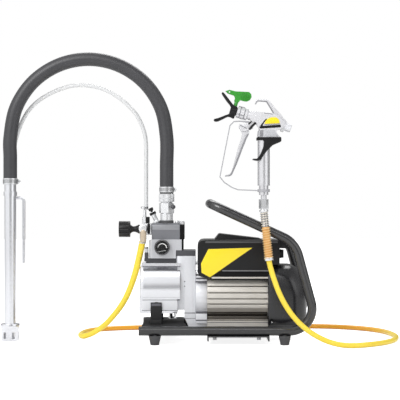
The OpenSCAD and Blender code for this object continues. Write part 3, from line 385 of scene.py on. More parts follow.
# The CAD nodes of each finish
NODE_FINISH = (
    (PAINT, "carry_frame motor_bracket"), (PLATE, "base_plate pump_brackets"),
    (RUBBER, "feet_and_plugs diaphragm"),
    (STEEL, "hex_bolts bearings oil_plugs hydraulic_piston pusher_body hose_clamps hose_ferrules "
            "rotor_shaft crankshaft needle_rod"),
    (FINS, "motor_body"), (CORE, "stator"), (ALLOY, "motor_shields drive_housing drive_cover"),
    (PLASTIC, "motor_cover cable_gland return_fitting cooling_fan pressure_knob pusher_button "
              "power_switch hand_rest trigger_lock tip_guard"),
    (COWL, "fan_cowl"), (LABEL, "cover_badge"), (DARK_ALLOY, "drive_cap"),
    (BRIGHT, "hydraulic_housing"), (GASKET, "head_gasket"), (FACE, "pump_head"),
    (SPRING, "piston_spring spring_guard"), (BLOCK, "head_cap"), (BLACK, "side_cover"),
    (MACHINED, "inlet_valve union_nut regulator_body"), (GAUGE, "gauge_case"),
    (WINDOW, "gauge_glass"), (DIAL, "gauge_needle"), (SUCTION, "suction_hose"),
    (CLEAR, "return_hose"), (HOSE, "pressure_hose"),
    (STAINLESS, "suction_tube strainer return_pipe"), (GUN, "gun_body gun_hook trigger"),
    (GRIP, "gun_grip tip_nut"), (WIRE, "trigger_guard"), (GREEN, "spray_tip"),
)
# Rounding of the edges of the CAD nodes that stay in view, in mm
NODE_ROUND = (
    (0.5, "motor_body hex_bolts oil_plugs"), (0.6, "hose_ferrules pusher_body"),
    (0.8, "base_plate motor_bracket strainer feet_and_plugs"),
    (1.0, "pump_brackets head_gasket pump_head pusher_button power_switch"),
    (1.2, "drive_housing drive_cover head_cap side_cover pressure_knob"),
    (1.5, "motor_shields drive_cap hydraulic_housing"),
)
WELD_GAP = 2e-6
ROUND_ANGLE = math.radians(32)


def dress_nodes():
    """Gives every CAD node its finish, and rounds the sharp edges of those that stay in view."""
    for finish, names in NODE_FINISH:
        for name in names.split():
            obj = nodes[name]
            if not obj.material_slots:
                obj.data.materials.append(finish)
            for slot in obj.material_slots:
                slot.material = finish
    for width, names in NODE_ROUND:
        for name in names.split():
            weld = nodes[name].modifiers.new("weld", "WELD")
            weld.merge_threshold = WELD_GAP
            bevel = nodes[name].modifiers.new("round", "BEVEL")
            bevel.width = width * MM
            bevel.segments = 2
            bevel.limit_method = "ANGLE"
            bevel.angle_limit = ROUND_ANGLE
            bevel.harden_normals = True


dress_nodes()

# ---- hoses ----
INLET_X, INLET_Y = -152, -30
LANCE_X = -604
RETURN_X, RETURN_Y = -213, 8
HOSE_RADIUS = 7.5
SUCTION_ROUTE = [(x, INLET_Y, z) for x, z in (
    (-152, 424), (-152, 446), (-152, 505), (-152, 587), (-169, 673), (-218, 747), (-292, 796),
    (-378, 813), (-464, 796), (-538, 747), (-587, 673), (-604, 587), (-604, 530), (-604, 474),
    (-604, 451))]
RETURN_ROUTE = [
    (-213, 8, 378), (-213, 8, 400), (-213, 8, 430), (-213, 8, 462), (-213, 8, 495),
    (-213, 8, 528), (-213, 8, 561), (-216, 8, 594), (-226, 8, 626), (-242, 7, 656),
    (-265, 6, 682), (-292, 5, 705), (-324, 5, 724), (-358, 4, 736), (-394, 4, 741),
    (-430, 3, 739), (-464, 3, 729), (-497, 2, 714), (-527, 2, 695), (-551, 1, 672),
    (-569, 1, 645), (-582, 0, 615), (-592, 0, 583), (-598, 0, 550), (-602, 0, 516),
    (-604, 0, 483), (-604, 0, 457), (-604, 0, 434)]
# Down from the outlet, round on the floor, and up to the gun
PRESSURE_ROUTE = [
    (-222, -30, 286), (-225, -30, 270), (-230, -30, 246), (-237, -30, 216), (-245, -29, 187),
    (-255, -26, 158), (-267, -22, 129), (-283, -18, 101), (-304, -14, 73), (-332, -8, 43),
    (-366, -2, 19), (-394, 10, 8)
] + [(x, y, HOSE_RADIUS) for x, y in (
    (-408, 44), (-408, 88), (-402, 132), (-388, 174), (-362, 208), (-324, 231), (-282, 247),
    (-238, 258), (-193, 267), (-148, 274), (-103, 280), (-58, 285), (-13, 289), (32, 293),
    (77, 296), (122, 298), (167, 300), (212, 300), (257, 299), (302, 296), (346, 287), (388, 271),
    (427, 247), (461, 215), (487, 176), (504, 132), (513, 87), (517, 42), (516, -3), (508, -48),
    (493, -92), (470, -132), (440, -168), (402, -199), (366, -216)
)] + [
    (330, -221, 10), (297, -219, 18), (264, -215, 33), (234, -208, 53), (206, -199, 80),
    (182, -190, 113), (164, -182, 148), (151, -174, 183), (142, -168, 213), (136.3, -166, 238),
    (131.3, -166, 286), (126.3, -166, 333.5)]


def make_hoses():
    suction = smooth_path(SUCTION_ROUTE, 4 * MM)
    rib = 0.25 * MM
    hose = piece("suction_hose_skin",
                 tube_mesh(suction, lambda i, a: 19.6 * MM + rib * (i % 2), 48),
                 SUCTION, slot="hose_dark", smooth_angle=80)
    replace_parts(hose, "suction_hose")
    back = smooth_path(RETURN_ROUTE, 8 * MM)
    hose = piece("return_hose_skin", tube_mesh(back, 5.9 * MM, 24), CLEAR, slot="hose_clear",
                 smooth_angle=80)
    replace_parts(hose, "return_hose")
    high = smooth_path(PRESSURE_ROUTE, 8 * MM)
    hose = piece("pressure_hose_skin",
                 tube_mesh(high, lambda i, a: (HOSE_RADIUS + 1.9 * max(0.0, 1 - i / 50)) * MM, 24),
                 HOSE, slot="hose_yellow", smooth_angle=80)
    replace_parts(hose, "pressure_hose")


make_hoses()


# ---- own shapes ----
UP, NEAR = (0, 0, 1), (0, -1, 0)
TILT = math.radians(15.75)
GUN_X, GUN_Y, BARREL_Z = 121.5, -166, 630


def rounded(outline, radius, steps=5):
    """Rounds the corners of an outline; radius is one number or one for each corner, in mm."""
    radii = radius if isinstance(radius, (list, tuple)) else [radius] * len(outline)
    points = []
    for i, corner in enumerate(outline):
        at = Vector(corner)
        before = Vector(outline[i - 1]) - at
        after = Vector(outline[(i + 1) % len(outline)]) - at
        cut = min(radii[i], before.length * 0.45, after.length * 0.45)
        if cut < 0.05:
            points.append(tuple(at))
            continue
        start, end = at + before.normalized() * cut, at + after.normalized() * cut
        for k in range(steps + 1):
            t = k / steps
            points.append(tuple(start * (1 - t) ** 2 + at * 2 * t * (1 - t) + end * t ** 2))
    return points


def slab(name, finish, outline, y0, y1, corner=0.0, width=1.0, segments=3, **kw):
    bm = bmesh.new()
    add_slab(bm, rounded(outline, corner) if corner else outline, y0, y1, width, segments)
    return piece(name, to_mesh(bm), finish, **kw)


def turned(name, finish, profile, origin, axis, sides=48, **kw):
    bm = bmesh.new()
    add_turned(bm, profile, origin, axis, sides)
    return piece(name, to_mesh(bm), finish, **kw)


def strip(name, finish, low, high, slot, width=0.3, matrix=None, **kw):
    """A box between two corners in mm, then moved by a matrix."""
    bm = bmesh.new()
    add_box(bm, low, high, width, matrix=matrix)
    return piece(name, to_mesh(bm), finish, slot=slot, **kw)


def mirrored(name, finish, low, high, slot="cap_alloy", width=0.1):
    """A strip on the near side and its mirror image on the far side; y runs outward, in mm."""
    for side, word in ((-1, "near"), (1, "far")):
        y0, y1 = sorted((side * low[1], side * high[1]))
        strip(name % word, finish, (low[0], y0, low[2]), (high[0], y1, high[2]), slot, width)


def in_barrel(x, y=0, z=0):
    """A point of the gun's barrel frame in the row frame, in mm."""
    return (GUN_X + x * math.cos(TILT) + z * math.sin(TILT), GUN_Y + y,
            BARREL_Z - x * math.sin(TILT) + z * math.cos(TILT))


BARREL_AXIS = (math.cos(TILT), 0, -math.sin(TILT))
BARREL_MATRIX = (Matrix.Translation(Vector((GUN_X, GUN_Y, BARREL_Z)) * MM)
                 @ Matrix.Rotation(TILT, 4, "Y"))


def make_cover():
    outline = [(-62.5, 200), (-56.5, 188), (-28, 182.5), (5, 205), (139, 205), (139, 221.3),
               (171.5, 221.3), (171.5, 291.5), (-62.5, 291.5)]
    corners = [5, 6, 8, 6, 2, 2, 3, 8, 20]
    bm = bmesh.new()
    add_slab(bm, rounded(outline, corners), -82, 82, 7, 5)
    add_slab(bm, rounded([(-15, 288), (-13, 292), (0, 308.5), (121, 294.4), (123, 288)],
                         [1, 1, 4, 4, 1]), -30, 62, 3, 3)
    cover = piece("cover_shell", to_mesh(bm), PLASTIC, slot="plastic_black")
    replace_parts(cover, "motor_cover")
    badge = [(-31.7, 265.8), (93.6, 269.8), (-27, 186), (-50.8, 198.8), (-52.3, 225.1)]
    slab("badge_rim", TRIM, [(-32.6, 267.2), (97.2, 271.2), (-27, 184.3), (-52, 198),
                             (-53.7, 225.5)], -82.25, -81, 2, 0.1, slot="plastic_black")
    plate = slab("badge_plate", LABEL, badge, -82.6, -81, 2, 0.2, slot="badge_yellow")
    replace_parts(plate, "cover_badge")
    # Painted light round the cover: a light grey line for the highlight on its lower lip, a black
    # block for the shadow under it, a grey band for the highlight along its top edge, and under it
    # a strip of fin alloy above a black strip painted as shadow.
    strip("cover_lip_highlight", EDGE_HIGHLIGHT, (8, -82.4, 202.6), (139, -70, 206), "cap_alloy")
    strip("under_cover_shadow", BLACK, (-22, -80, 187), (139, 80, 203.4), "plastic_black")
    strip("cover_top_highlight", COVER_TOP_HIGHLIGHT, (-40, -82.5, 283.6), (166, -80, 288.4), "plastic_black", 0.1)
    strip("tray_rail", FINS, (-22, -80.4, 182), (139, -60, 186.8), "fin_alloy")
    strip("tray_shadow", GAUGE, (-22, -78.6, 177.6), (139, -58, 182), "gauge_black")
    slab("switch_hood", PLASTIC, [(166, 291), (176, 291), (188, 287), (203, 270), (196, 266.5),
                                  (170, 267)], -44, 24, 3, 1.5, slot="plastic_black")


COWL_FRONT, COWL_BEND, COWL_DEPTH = 140.5, 196, 56.5


def cowl_edge(x):
    """Top, bottom and half width of the fan cowl at x, in mm."""
    t = max(0.0, (x - COWL_BEND) / COWL_DEPTH)
    fall = 1 - math.sqrt(max(0.0, 1 - t ** 2.2))
    start = max(0.0, min(1.0, (x - COWL_FRONT) / 14))
    swell = 1 - 0.02 * (1 - start) ** 2
    return 221 - 105 * fall, 42 + 12 * fall ** 2, 84 * swell * (1 - 0.62 * fall)


def make_cowl():
    bm = bmesh.new()
    rings, sides = [], 64
    stations = [COWL_FRONT, 142, 146, 154, 165, 175, 185, COWL_BEND] + [
        COWL_BEND + COWL_DEPTH * math.sin(math.pi / 2 * k / 16) for k in range(1, 16)] + [252.2]
    for x in stations:
        top, low, half = cowl_edge(x)
        mid, rise = (top + low) / 2, (top - low) / 2
        soft = max(0.0, min(1.0, (x - 165) / 60))
        ring = []
        for k in range(sides):
            a = 2 * math.pi * (k + 0.5) / sides
            power = 2 / (3.4 - 1.3 * soft if math.sin(a) > 0 else 9)
            y = math.copysign(abs(math.cos(a)) ** power, math.cos(a)) * half
            z = math.copysign(abs(math.sin(a)) ** power, math.sin(a)) * rise
            ring.append(bm.verts.new((x * MM, y * MM, (mid + z) * MM)))
        rings.append(ring)
    skin(bm, rings)
    for z in range(-32, 49, 16):
        add_box(bm, (238, -30, 112 + z - 2), (251.5 - abs(z) / 14, 30, 112 + z + 2), 1.2)
    cowl = piece("cowl_shell", to_mesh(bm), COWL, slot="plastic_black", smooth_angle=50)
    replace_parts(cowl, "fan_cowl")
    turned("cowl_screw_cup", BLACK, [(0, 6), (4, 6), (5.2, 4.8)], (148.4, -84, 62), NEAR, 24,
           slot="plastic_black")
    turned("cowl_screw", STEEL, [(0, 2.1), (0.6, 1.8)], (148.9, -89.2, 58.6), NEAR, 12,
           slot="bolt_steel")


def make_gauge():
    at = (-164, -50, 270)
    bezel = turned("gauge_bezel", GAUGE,
                   [(0, 21.5), (9, 22.3), (14.5, 22.3), (15.8, 21.6), (16, 20.6), (14.8, 18.4),
                    (14.2, 18)], at, NEAR, 64, slot="gauge_black")
    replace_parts(bezel, "gauge_case")
    turned("gauge_face", DIAL, [(13, 18.4), (14.9, 18.4)], at, NEAR, 64, slot="gauge_black")
    # A light grey ring painted as the highlight on the rim of the bezel.
    ring = bmesh.new()
    add_turned(ring, [(15.6, 19.4), (16.2, 19.6), (16.2, 21), (15.4, 21.6)], at, NEAR, 64,
               closed_ring=True)
    piece("gauge_rim_highlight", to_mesh(ring), EDGE_HIGHLIGHT, slot="cap_alloy")
    bm = bmesh.new()
    steps, arc = 30, []
    for k in range(steps + 1):
        a = math.radians(176 - 176 * k / steps)
        wide = 0.3 + 1.9 * math.sin(math.pi * (0.06 + 0.66 * k / steps))
        arc.append([(-163.6 + r * math.cos(a), -65.2, 268.4 + r * math.sin(a))
                    for r in (12.6 - wide / 2, 12.6 + wide / 2)])
    for (a0, a1), (b0, b1) in zip(arc, arc[1:]):
        bm.faces.new([bm.verts.new(Vector(q) * MM) for q in (a0, a1, b1, b0)])
    add_box(bm, (-12, -0.1, -0.35), (12, 0.1, 0.35),
            matrix=Matrix.Translation(Vector((-165, -65.2, 259.6)) * MM)
            @ Matrix.Rotation(math.radians(-9), 4, "Y"))
    piece("gauge_scale", to_mesh(bm), WHITE, slot="needle_white")


KNURLS = 120


def make_inlet():
    at = (INLET_X, INLET_Y, 0)
    turned("inlet_gasket", RUBBER, [(339.2, 19.5), (339.8, 20.4), (346.6, 20.4), (347.2, 19.5)],
           at, UP, slot="rubber_black")
    body = turned("inlet_column", MACHINED,
                  [(339, 17), (347, 17), (347.2, 18), (366, 18), (366.8, 17), (368, 17),
                   (397, 17), (398, 16), (423.5, 16)], at, UP, slot="head_steel")
    turned("inlet_hex", MACHINED, [(367.5, 20.4), (369, 22.6), (396.5, 22.6), (398, 20.4)], at, UP,
           6, slot="head_steel", smooth_angle=20)
    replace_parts(body, "inlet_valve")
    bm = bmesh.new()
    rings = []
    for z, r, depth in ((400.3, 20.8, 0), (401.6, 22.3, 0.5), (410, 22.3, 0.5), (410.4, 21.6, 0),
                        (411.6, 21.6, 0), (412, 22.3, 0.5), (422.4, 22.3, 0.5), (423.6, 20.8, 0)):
        wave = [(r - depth * (k % 2), a) for k, a in enumerate(angles(KNURLS))]
        rings.append([bm.verts.new(((INLET_X + q * math.cos(a)) * MM,
                                    (INLET_Y + q * math.sin(a)) * MM, z * MM)) for q, a in wave])
    skin(bm, rings)
    nut = piece("knurled_nut", to_mesh(bm), MACHINED, slot="head_steel")
    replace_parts(nut, "union_nut")


def clamp(name, x, y, z0, z1, r, side, slots):
    """A worm-drive hose clamp: band, slots in the band, housing and screw."""
    mid = (z0 + z1) / 2
    half = (z1 - z0) / 2
    bm = bmesh.new()
    add_turned(bm, [(-half, r + 0.2), (-half + 0.4, r + 1.1), (half - 0.4, r + 1.1),
                    (half, r + 0.2), (half, r - 0.1), (-half, r - 0.1)], (x, y, mid), UP, 64,
               closed_ring=True)
    turn = Matrix.Translation(Vector((x, y, mid)) * MM) @ Matrix.Rotation(side, 4, "Z")
    add_box(bm, (r + 0.6, -7, -half * 0.8), (r + 5.5, 7, half * 0.8), 1.0, matrix=turn)
    screw = bmesh.new()
    add_turned(screw, [(-10, 2.6), (-8, 3.6), (8.5, 3.6), (9, 3)], (r + 5, 0, 0), (0, 1, 0), 16)
    screw.transform(turn)
    merge(bm, screw)
    band = piece(name, to_mesh(bm), STEEL, slot="bolt_steel")
    holes = bmesh.new()
    for k in range(slots):
        spin = turn @ Matrix.Rotation(2 * math.pi * (k + 0.5) / slots, 4, "Z")
        add_box(holes, (r + 0.6, -0.55, -half * 0.62), (r + 1.16, 0.55, half * 0.62), matrix=spin)
    piece(name + "_slots", to_mesh(holes), GAUGE, slot="gauge_black")
    return band


def make_clamps():
    first = clamp("inlet_clamp", INLET_X, INLET_Y, 428, 444.4, 20, math.radians(20), 44)
    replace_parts(first, "hose_clamps")
    clamp("lance_clamp", LANCE_X, INLET_Y, 451, 469, 20, math.radians(20), 44)
    clamp("return_clamp", RETURN_X, RETURN_Y, 379, 388, 5.4, math.radians(200), 14)


COIL_STEPS = 20


def make_guard():
    """The spring round the end of the pressure hose: one wire in open turns on the leaning axis."""
    low, high = Vector((136.3, GUN_Y, 238)), Vector((GUN_X, GUN_Y, 380))
    w = (high - low).normalized()
    u = w.orthogonal().normalized()
    v = w.cross(u)
    def coil(name, finish, start, end, turns, radius, wire):
        path = []
        for k in range(turns * COIL_STEPS + 1):
            a = 2 * math.pi * k / COIL_STEPS
            along = start + (end - start) * k / (turns * COIL_STEPS)
            path.append((low + w * along + (u * math.cos(a) + v * math.sin(a)) * radius) * MM)
        return piece(name, tube_mesh(path, wire * MM, 8), finish, slot="spring_steel",
                     smooth_angle=80)

    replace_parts(coil("guard_coil", AMBER, 4, 91, 13, 12, 1.0), "spring_guard")
    coil("guard_coil_top", SPRING, 95, 135, 6, 11.2, 0.9)
    for name, finish, profile, slot in (
            ("guard_sleeve", SLEEVE, [(4, 8.6), (5, 9.8), (92, 9.8), (94, 8.6)], "hose_yellow"),
            ("guard_collar", SPRING, [(0, 8), (0.5, 11.6), (4.5, 12), (5.5, 11), (5.5, 8)],
             "spring_steel"),
            ("guard_tube", GUARD_TUBE, [(93, 8.4), (94, 9.4), (134, 9.4), (135, 8.4)],
             "spring_steel")):
        turned(name, finish, profile, tuple(low), tuple(w), 32, slot=slot)


def make_regulator():
    bm = bmesh.new()
    add_box(bm, (-230, -42, 306), (-194, 18, 338), 3.0, 3)
    body = piece("regulator_block", to_mesh(bm), MACHINED, slot="head_steel")
    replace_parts(body, "regulator_body")
    turned("regulator_boss", MACHINED, [(0, 12.6), (5.6, 12.6), (8, 10.4), (8.6, 8)],
           (-219.5, -42, 324), NEAR, 40, slot="head_steel")
    turned("regulator_neck", PLASTIC,
           [(0, 13), (3, 13), (6, 11), (12, 8.6), (17, 8), (21, 8.8), (26, 13), (27.5, 13.6)],
           (-230, -30, 322), (-1, 0, 0), 40, slot="plastic_black")
    turned("outlet_ferrule", FERRULE,
           [(0, 7.4), (1, 8.4), (16, 8.8), (24, 9.4), (33, 10.4), (36, 9)], (-219, -42, 284),
           UP, 32, slot="spring_steel")
    turned("outlet_ring", MACHINED, [(0, 8.6), (0.6, 10.4), (3.4, 10.4), (4, 9)], (-222, -31, 280),
           (0.06, 0, 1), 32, slot="head_steel")
    turned("regulator_ring", GAUGE, [(-4, 12.5), (-3, 15), (3, 15), (4, 12.5)],
           (-203, -40, 323), (1, 0, 0), 32, slot="gauge_black")
    turned("pusher_collar", PLASTIC, [(0, 8), (1, 9.6), (7, 9.6), (8, 8)], in_pusher(27),
           PUSHER_AXIS, 28, slot="plastic_black")


PUSHER_AXIS = (-math.sin(math.radians(26)), 0, math.cos(math.radians(26)))


def in_pusher(along):
    """A point on the axis of the inlet pusher, in mm."""
    return (-179 + PUSHER_AXIS[0] * along, -8, 339 + PUSHER_AXIS[2] * along)


def make_return_fitting():
    bm = bmesh.new()
    add_turned(bm, [(338, 6.4), (339, 7), (350, 7), (352, 6)], (-213, 8, 0), UP, 24)
    add_box(bm, (-214, -2, 338.3), (-202.5, 16, 357), 1.2)
    body = piece("return_elbow", to_mesh(bm), PLASTIC, slot="plastic_black")
    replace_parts(body, "return_fitting")
    turned("return_hex", MACHINED, [(338.3, 7.4), (339.3, 8.4), (355, 8.4), (356, 7.4), (356, 5),
                                    (378, 4.4)],
           (-216.5, 6, 0), UP, 6, slot="head_steel", smooth_angle=20)


def leaning(x, z, degrees):
    """A turn about Y by some degrees, then a move to x and z in mm."""
    return (Matrix.Translation(Vector((x, 0, z)) * MM)
            @ Matrix.Rotation(math.radians(degrees), 4, "Y"))


def make_gun():
    body = [(86, 653.4), (116, 649.6), (148, 646.4), (161, 640), (180, 621), (183, 610),
            (170, 601.5), (156, 600.6), (158.5, 589), (167, 581.5), (167, 580.3), (104, 580.3),
            (104.4, 595), (108.5, 606), (103, 613), (93, 621), (84, 627), (82, 641)]
    bm = bmesh.new()
    add_slab(bm, rounded(body, 5), -179, -153, 5.5, 4)
    for low, high, r0, r1 in ((-62, -46, 11, 11), (-47, -20, 12.5, 13.5)):
        add_turned(bm, [(0, r0 - 1), (1, r0), (high - low - 1, r1), (high - low, r1 - 1)],
                   in_barrel(low), BARREL_AXIS)
    for y in (-174.6, -160.4):
        add_slab(bm, rounded([(90, 622), (58, 615), (55, 606), (58, 598), (67, 596), (92, 604)], 3),
                 y - 1.3, y + 1.3, 0.8)
    add_turned(bm, [(0, 2.6), (21, 2.6)], (64, -176.5, 606), (0, 1, 0), 16)
    casting = piece("gun_casting", to_mesh(bm), GUN, body="gun", slot="cast_alloy", smooth_angle=40)
    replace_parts(casting, "gun_body")
    turned("gun_rear_cap", ALLOY, [(57, 10.5), (58, 11.5), (78, 11.5), (80, 9.5), (80, 6), (79, 5)],
           in_barrel(0, 0, -4), BARREL_AXIS, 36, body="gun", slot="cast_alloy")
    turned("gun_rear_ring", DARK_ALLOY, [(56, 11), (56.6, 12), (59.4, 12), (60, 11)],
           in_barrel(0, 0, -4), BARREL_AXIS, 36, body="gun", slot="cap_alloy")
    turned("gun_hex", MACHINED, [(0, 5.2), (1, 6), (33, 6), (34, 5.2)], in_barrel(58, -17, -14),
           (0, 1, 0), 6, body="gun", slot="bolt_steel", smooth_angle=20)

    def flat(name, finish, outline, y, slot, corner=1.0):
        return slab(name, finish, outline, y, -177.5, corner, 0.2, body="gun", slot=slot)

    # The neck gets a greyer face than the rest of the gun: painted shade.
    flat("gun_neck_face", FACE, [(105, 581.2), (108, 597), (121, 602.6), (150, 601.4), (156, 591),
                                 (162, 583.4), (160, 581.2)], -179.1, "cast_alloy")
    flat("gun_neck_shade", GUN_LINE, [(109.5, 599), (120.4, 601), (119.6, 581), (110.6, 581)],
         -179.2, "cap_alloy")
    flat("gun_neck_edge", GUN_LINE, [(104.2, 582), (106, 582), (107, 594), (111, 603), (109, 604),
                                     (105, 595)], -179.2, "cap_alloy", 0.5)
    flat("gun_ridge_line", GUN_LINE, [(122, 647.4), (145, 645), (147.6, 641.8), (144, 643.2),
                                      (123, 645.6)], -179.2, "cap_alloy", 0.4)
    flat("gun_panel", GAUGE, [(108.4, 607.4), (120.6, 623.8), (128, 631.6), (130, 629.8),
                              (123.4, 622), (117.6, 611.4), (167.6, 614.8), (168.9, 607.4),
                              (116, 603.9), (110, 604.2)], -179.5, "gauge_black")
    flat("gun_panel_face", BAND, [(122.2, 613.6), (124.4, 617.4), (164.4, 619.4), (166.2, 616)],
         -179.7, "cap_alloy", 0.6)
    flat("gun_badge", LABEL, [(122.4, 616.6), (126.6, 625.6), (133.4, 631.8), (142, 635),
                              (154.8, 635.2), (163, 629.2), (165.8, 618.6)], -180, "badge_yellow",
         2.5)
    hook = slab("hook_strip", GUN,
                [(96.8, 672.5), (100.8, 683.4), (105, 686), (131, 686), (136, 683), (184, 626),
                 (188, 620), (184, 617.2), (160, 636), (154.5, 638.4), (128, 678),
                 (110, 680), (104, 678), (100, 670.6)], -170, -162, 2.5, 1.4, body="gun",
                slot="trigger_steel")
    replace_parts(hook, "gun_hook")
    slab("hook_line", GUN_LINE,
         [(97.6, 672.4), (100.6, 680.4), (104.6, 682.6), (130.6, 680.6), (144.6, 657.8),
          (154.6, 639.4), (152.4, 638.2), (142, 654.9), (128.9, 677.6), (104.8, 679.6),
          (102.2, 677.8), (99.4, 671.6)], -170.5, -169, 0, 0.2, body="gun", slot="cap_alloy")
    rest = slab("hand_rest_skin", PLASTIC,
                [(101.6, 580), (169.7, 580), (169.7, 568), (147, 558.5), (130, 542), (120.5, 529.5),
                 (111.5, 517), (103, 514.5), (90.5, 517.5), (91, 520.5), (103, 520.5),
                 (112, 534), (119, 551), (122, 568), (118, 571.5), (101.6, 571.5)],
                -185.4, -146.6, 2.5, 1.6, body="gun", slot="plastic_black")
    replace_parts(rest, "hand_rest")
    nut = turned("tip_nut_skin", GUN,
                 [(0, 14.5), (1, 16.6), (7, 16.9), (8, 15.6), (9.5, 15.6), (10.5, 17), (20, 17),
                  (21, 15.4), (22.4, 15.4), (23.4, 16.6), (29, 16.6), (30.6, 14.6)],
                 in_barrel(-77), BARREL_AXIS, 10, body="gun", slot="grip_alloy", smooth_angle=20)
    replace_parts(nut, "tip_nut")
    lines = bmesh.new()
    for along in (-68.4, -55.4):
        add_turned(lines, [(-0.7, 14), (-0.7, 16), (0.7, 16), (0.7, 14)], in_barrel(along),
                   BARREL_AXIS, 10)
    add_box(lines, (-76, -6.5, 15.4), (-58, 6.5, 17.4), 0.5, matrix=BARREL_MATRIX)
    add_box(lines, (-75, -17, -7.6), (-57, -15.4, -5.8), 0.3, matrix=BARREL_MATRIX)
    piece("tip_nut_lines", to_mesh(lines), GUN_LINE, body="gun", slot="cap_alloy")
    slab("trigger_edge", GUN_LINE,
         [(80.5, 590), (79, 586), (74, 577), (62.5, 548), (46.5, 505.5), (33.3, 476.4),
          (28.7, 472.6), (14, 471.4), (14, 473), (27.5, 475.5), (30.5, 480), (41.5, 505.5),
          (57.6, 548), (69.2, 577), (75, 588)], -174.6, -165, 0, 0.2, body="trigger_arm",
         slot="cap_alloy")
    slab("trigger_line", GUN_LINE, [(55, 612), (58, 613.4), (75, 605.6), (74, 603.6)], -176.4,
         -170, 0, 0.2, body="trigger_arm", slot="cap_alloy")
    lock = strip("lock_lever", PLASTIC, (-3.2, -183.3, -12.5), (3.2, -179.4, 14.5),
                 "plastic_black", 1.4, leaning(89, 610, 43), body="lock")
    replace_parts(lock, "trigger_lock")
    strip("lock_tab", PLASTIC, (-1.8, -179.1, -7), (1.8, -172, 7), "plastic_black", 1,
          leaning(83.6, 620.4, 46), body="gun")


def make_tip_guard():
    hub = [(40, 668.2), (49.1, 664.1), (46.9, 656.9), (42.7, 644.1), (39.1, 632.2), (35.8, 632.2)]
    lower = [(28.6, 635.8), (22.2, 637.2), (14.5, 633.6), (4.5, 628.6), (-5.2, 624.1),
             (-12.4, 623.3), (-17.6, 625.8), (-16.6, 630.8), (-5.2, 633.6), (4.5, 637.2),
             (14.5, 641.3), (23, 644.1)]
    upper = [(28.6, 647.7), (31.4, 654.1), (30.8, 662.7), (27.2, 669.6), (20, 678.2), (13.1, 687.9),
             (7.5, 696.5), (4.2, 702.8), (7.5, 706), (12.2, 702), (20, 692.3), (28.6, 681),
             (35, 672.4)]
    bm = bmesh.new()
    add_slab(bm, rounded(hub + lower + upper, 2.5), -175, -157, 2.2, 3)
    for low, high, r in ((-97, -78, 12.6), (-78, -67, 11)):
        add_turned(bm, [(0, r - 2), (2, r), (high - low - 1, r), (high - low, r - 1)],
                   in_barrel(low), BARREL_AXIS, 40)
    skin = piece("tip_guard_skin", to_mesh(bm), PLASTIC, body="tip_guard_body",
                 slot="plastic_black")
    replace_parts(skin, "tip_guard")
    lobe = [(58.8, 699.8), (66.6, 701.5), (76.3, 700.1), (82.1, 695.4), (83.2, 689.3),
            (80.4, 683.2), (73.5, 681), (63.8, 682.4), (58.2, 687.1), (57.1, 694.3)]
    slab("tip_lobe", GREEN_DARK, lobe, -171.9, -160.1, 2.5, 0.6, body="tip", slot="tip_green")


def arc_shell(name, finish, x0, x1, z_axis, r, z_low, z_high, slot):
    """A thin shell along X on both flanks of a cylinder, between two heights, in mm."""
    bm = bmesh.new()
    for side in (-1, 1):
        rows = []
        for k in range(9):
            z = z_low + (z_high - z_low) * k / 8
            y = side * math.sqrt(r * r - (z - z_axis) ** 2)
            rows.append([bm.verts.new((x * MM, y * MM, z * MM)) for x in (x0, x1)])
        for a, b in zip(rows, rows[1:]):
            bm.faces.new((a[0], a[1], b[1], b[0]))
    return piece(name, to_mesh(bm), finish, slot=slot)


MOTOR_X0, MOTOR_X1, MOTOR_Z = -34.8, 138.8, 122


def make_motor_details():
    x0, x1 = MOTOR_X0 + 0.2, MOTOR_X1 - 0.2
    # Painted light and shade under the motor: a dark shell for the shaded underside, a grey shell
    # for the lower fins, lighter grey lines for lit edges, and dark grey lines where shade falls
    # between the steps of the feet.
    arc_shell("motor_belly", BELLY, MOTOR_X0, MOTOR_X1, MOTOR_Z, 68.4, 70, 89, "plastic_black")
    arc_shell("motor_flank", MID, MOTOR_X0, MOTOR_X1, MOTOR_Z, 80.6, 86.4, 97.6, "cap_alloy")
    mirrored("belly_line_%s", SHADE, (x0, 54, 80.2), (x1, 56.4, 82.4))
    mirrored("belly_rib_%s", SHADE, (x0, 51, 68.2), (x1, 53.4, 72))
    mirrored("belly_gap_%s", BELLY, (x0, 51, 60.2), (x1, 52.5, 68.4), "plastic_black")
    mirrored("foot_seam_%s", SHADE_AND_HIGHLIGHT_GREY, (x0, 63, 54.8), (x1, 64.3, 56.4))
    # The end bell's feet and shelf in cast alloy, with dark grey lines painted as the shade under
    # and between them.
    mirrored("bell_foot_%s", ALLOY, (-67.6, 40, 52.2), (-35.6, 60, 80.6), "cast_alloy", 1.2)
    mirrored("bell_foot_seam_%s", SHADE_AND_HIGHLIGHT_GREY, (-67, 59, 59.4), (-36, 60.4, 62.8))
    mirrored("bell_gap_%s", SHADE_AND_HIGHLIGHT_GREY, (-67, 54, 80.4), (-36, 60.2, 86))
    mirrored("bell_shelf_%s", ALLOY, (-67.4, 20, 173.6), (-35.6, 57, 187.6), "cast_alloy", 1)
    mirrored("bell_shelf_seam_%s", SHADE_AND_HIGHLIGHT_GREY, (-67, 56, 178.4), (-36, 57.4, 183.4))
    mirrored("bell_shadow_%s", SHADE_AND_HIGHLIGHT_GREY, (-67.2, 30, 170.4), (-35.8, 56, 173.6))
    for side, word in ((-1, "near"), (1, "far")):
        for x in (-14, 110):
            turned("channel_bolt_%s_%d" % (word, x + 20), FACE, [(13, 4.6), (14, 5.6), (20.5, 5.6)],
                   (x, side * 128, 0), UP, 6, slot="bolt_steel", smooth_angle=20)


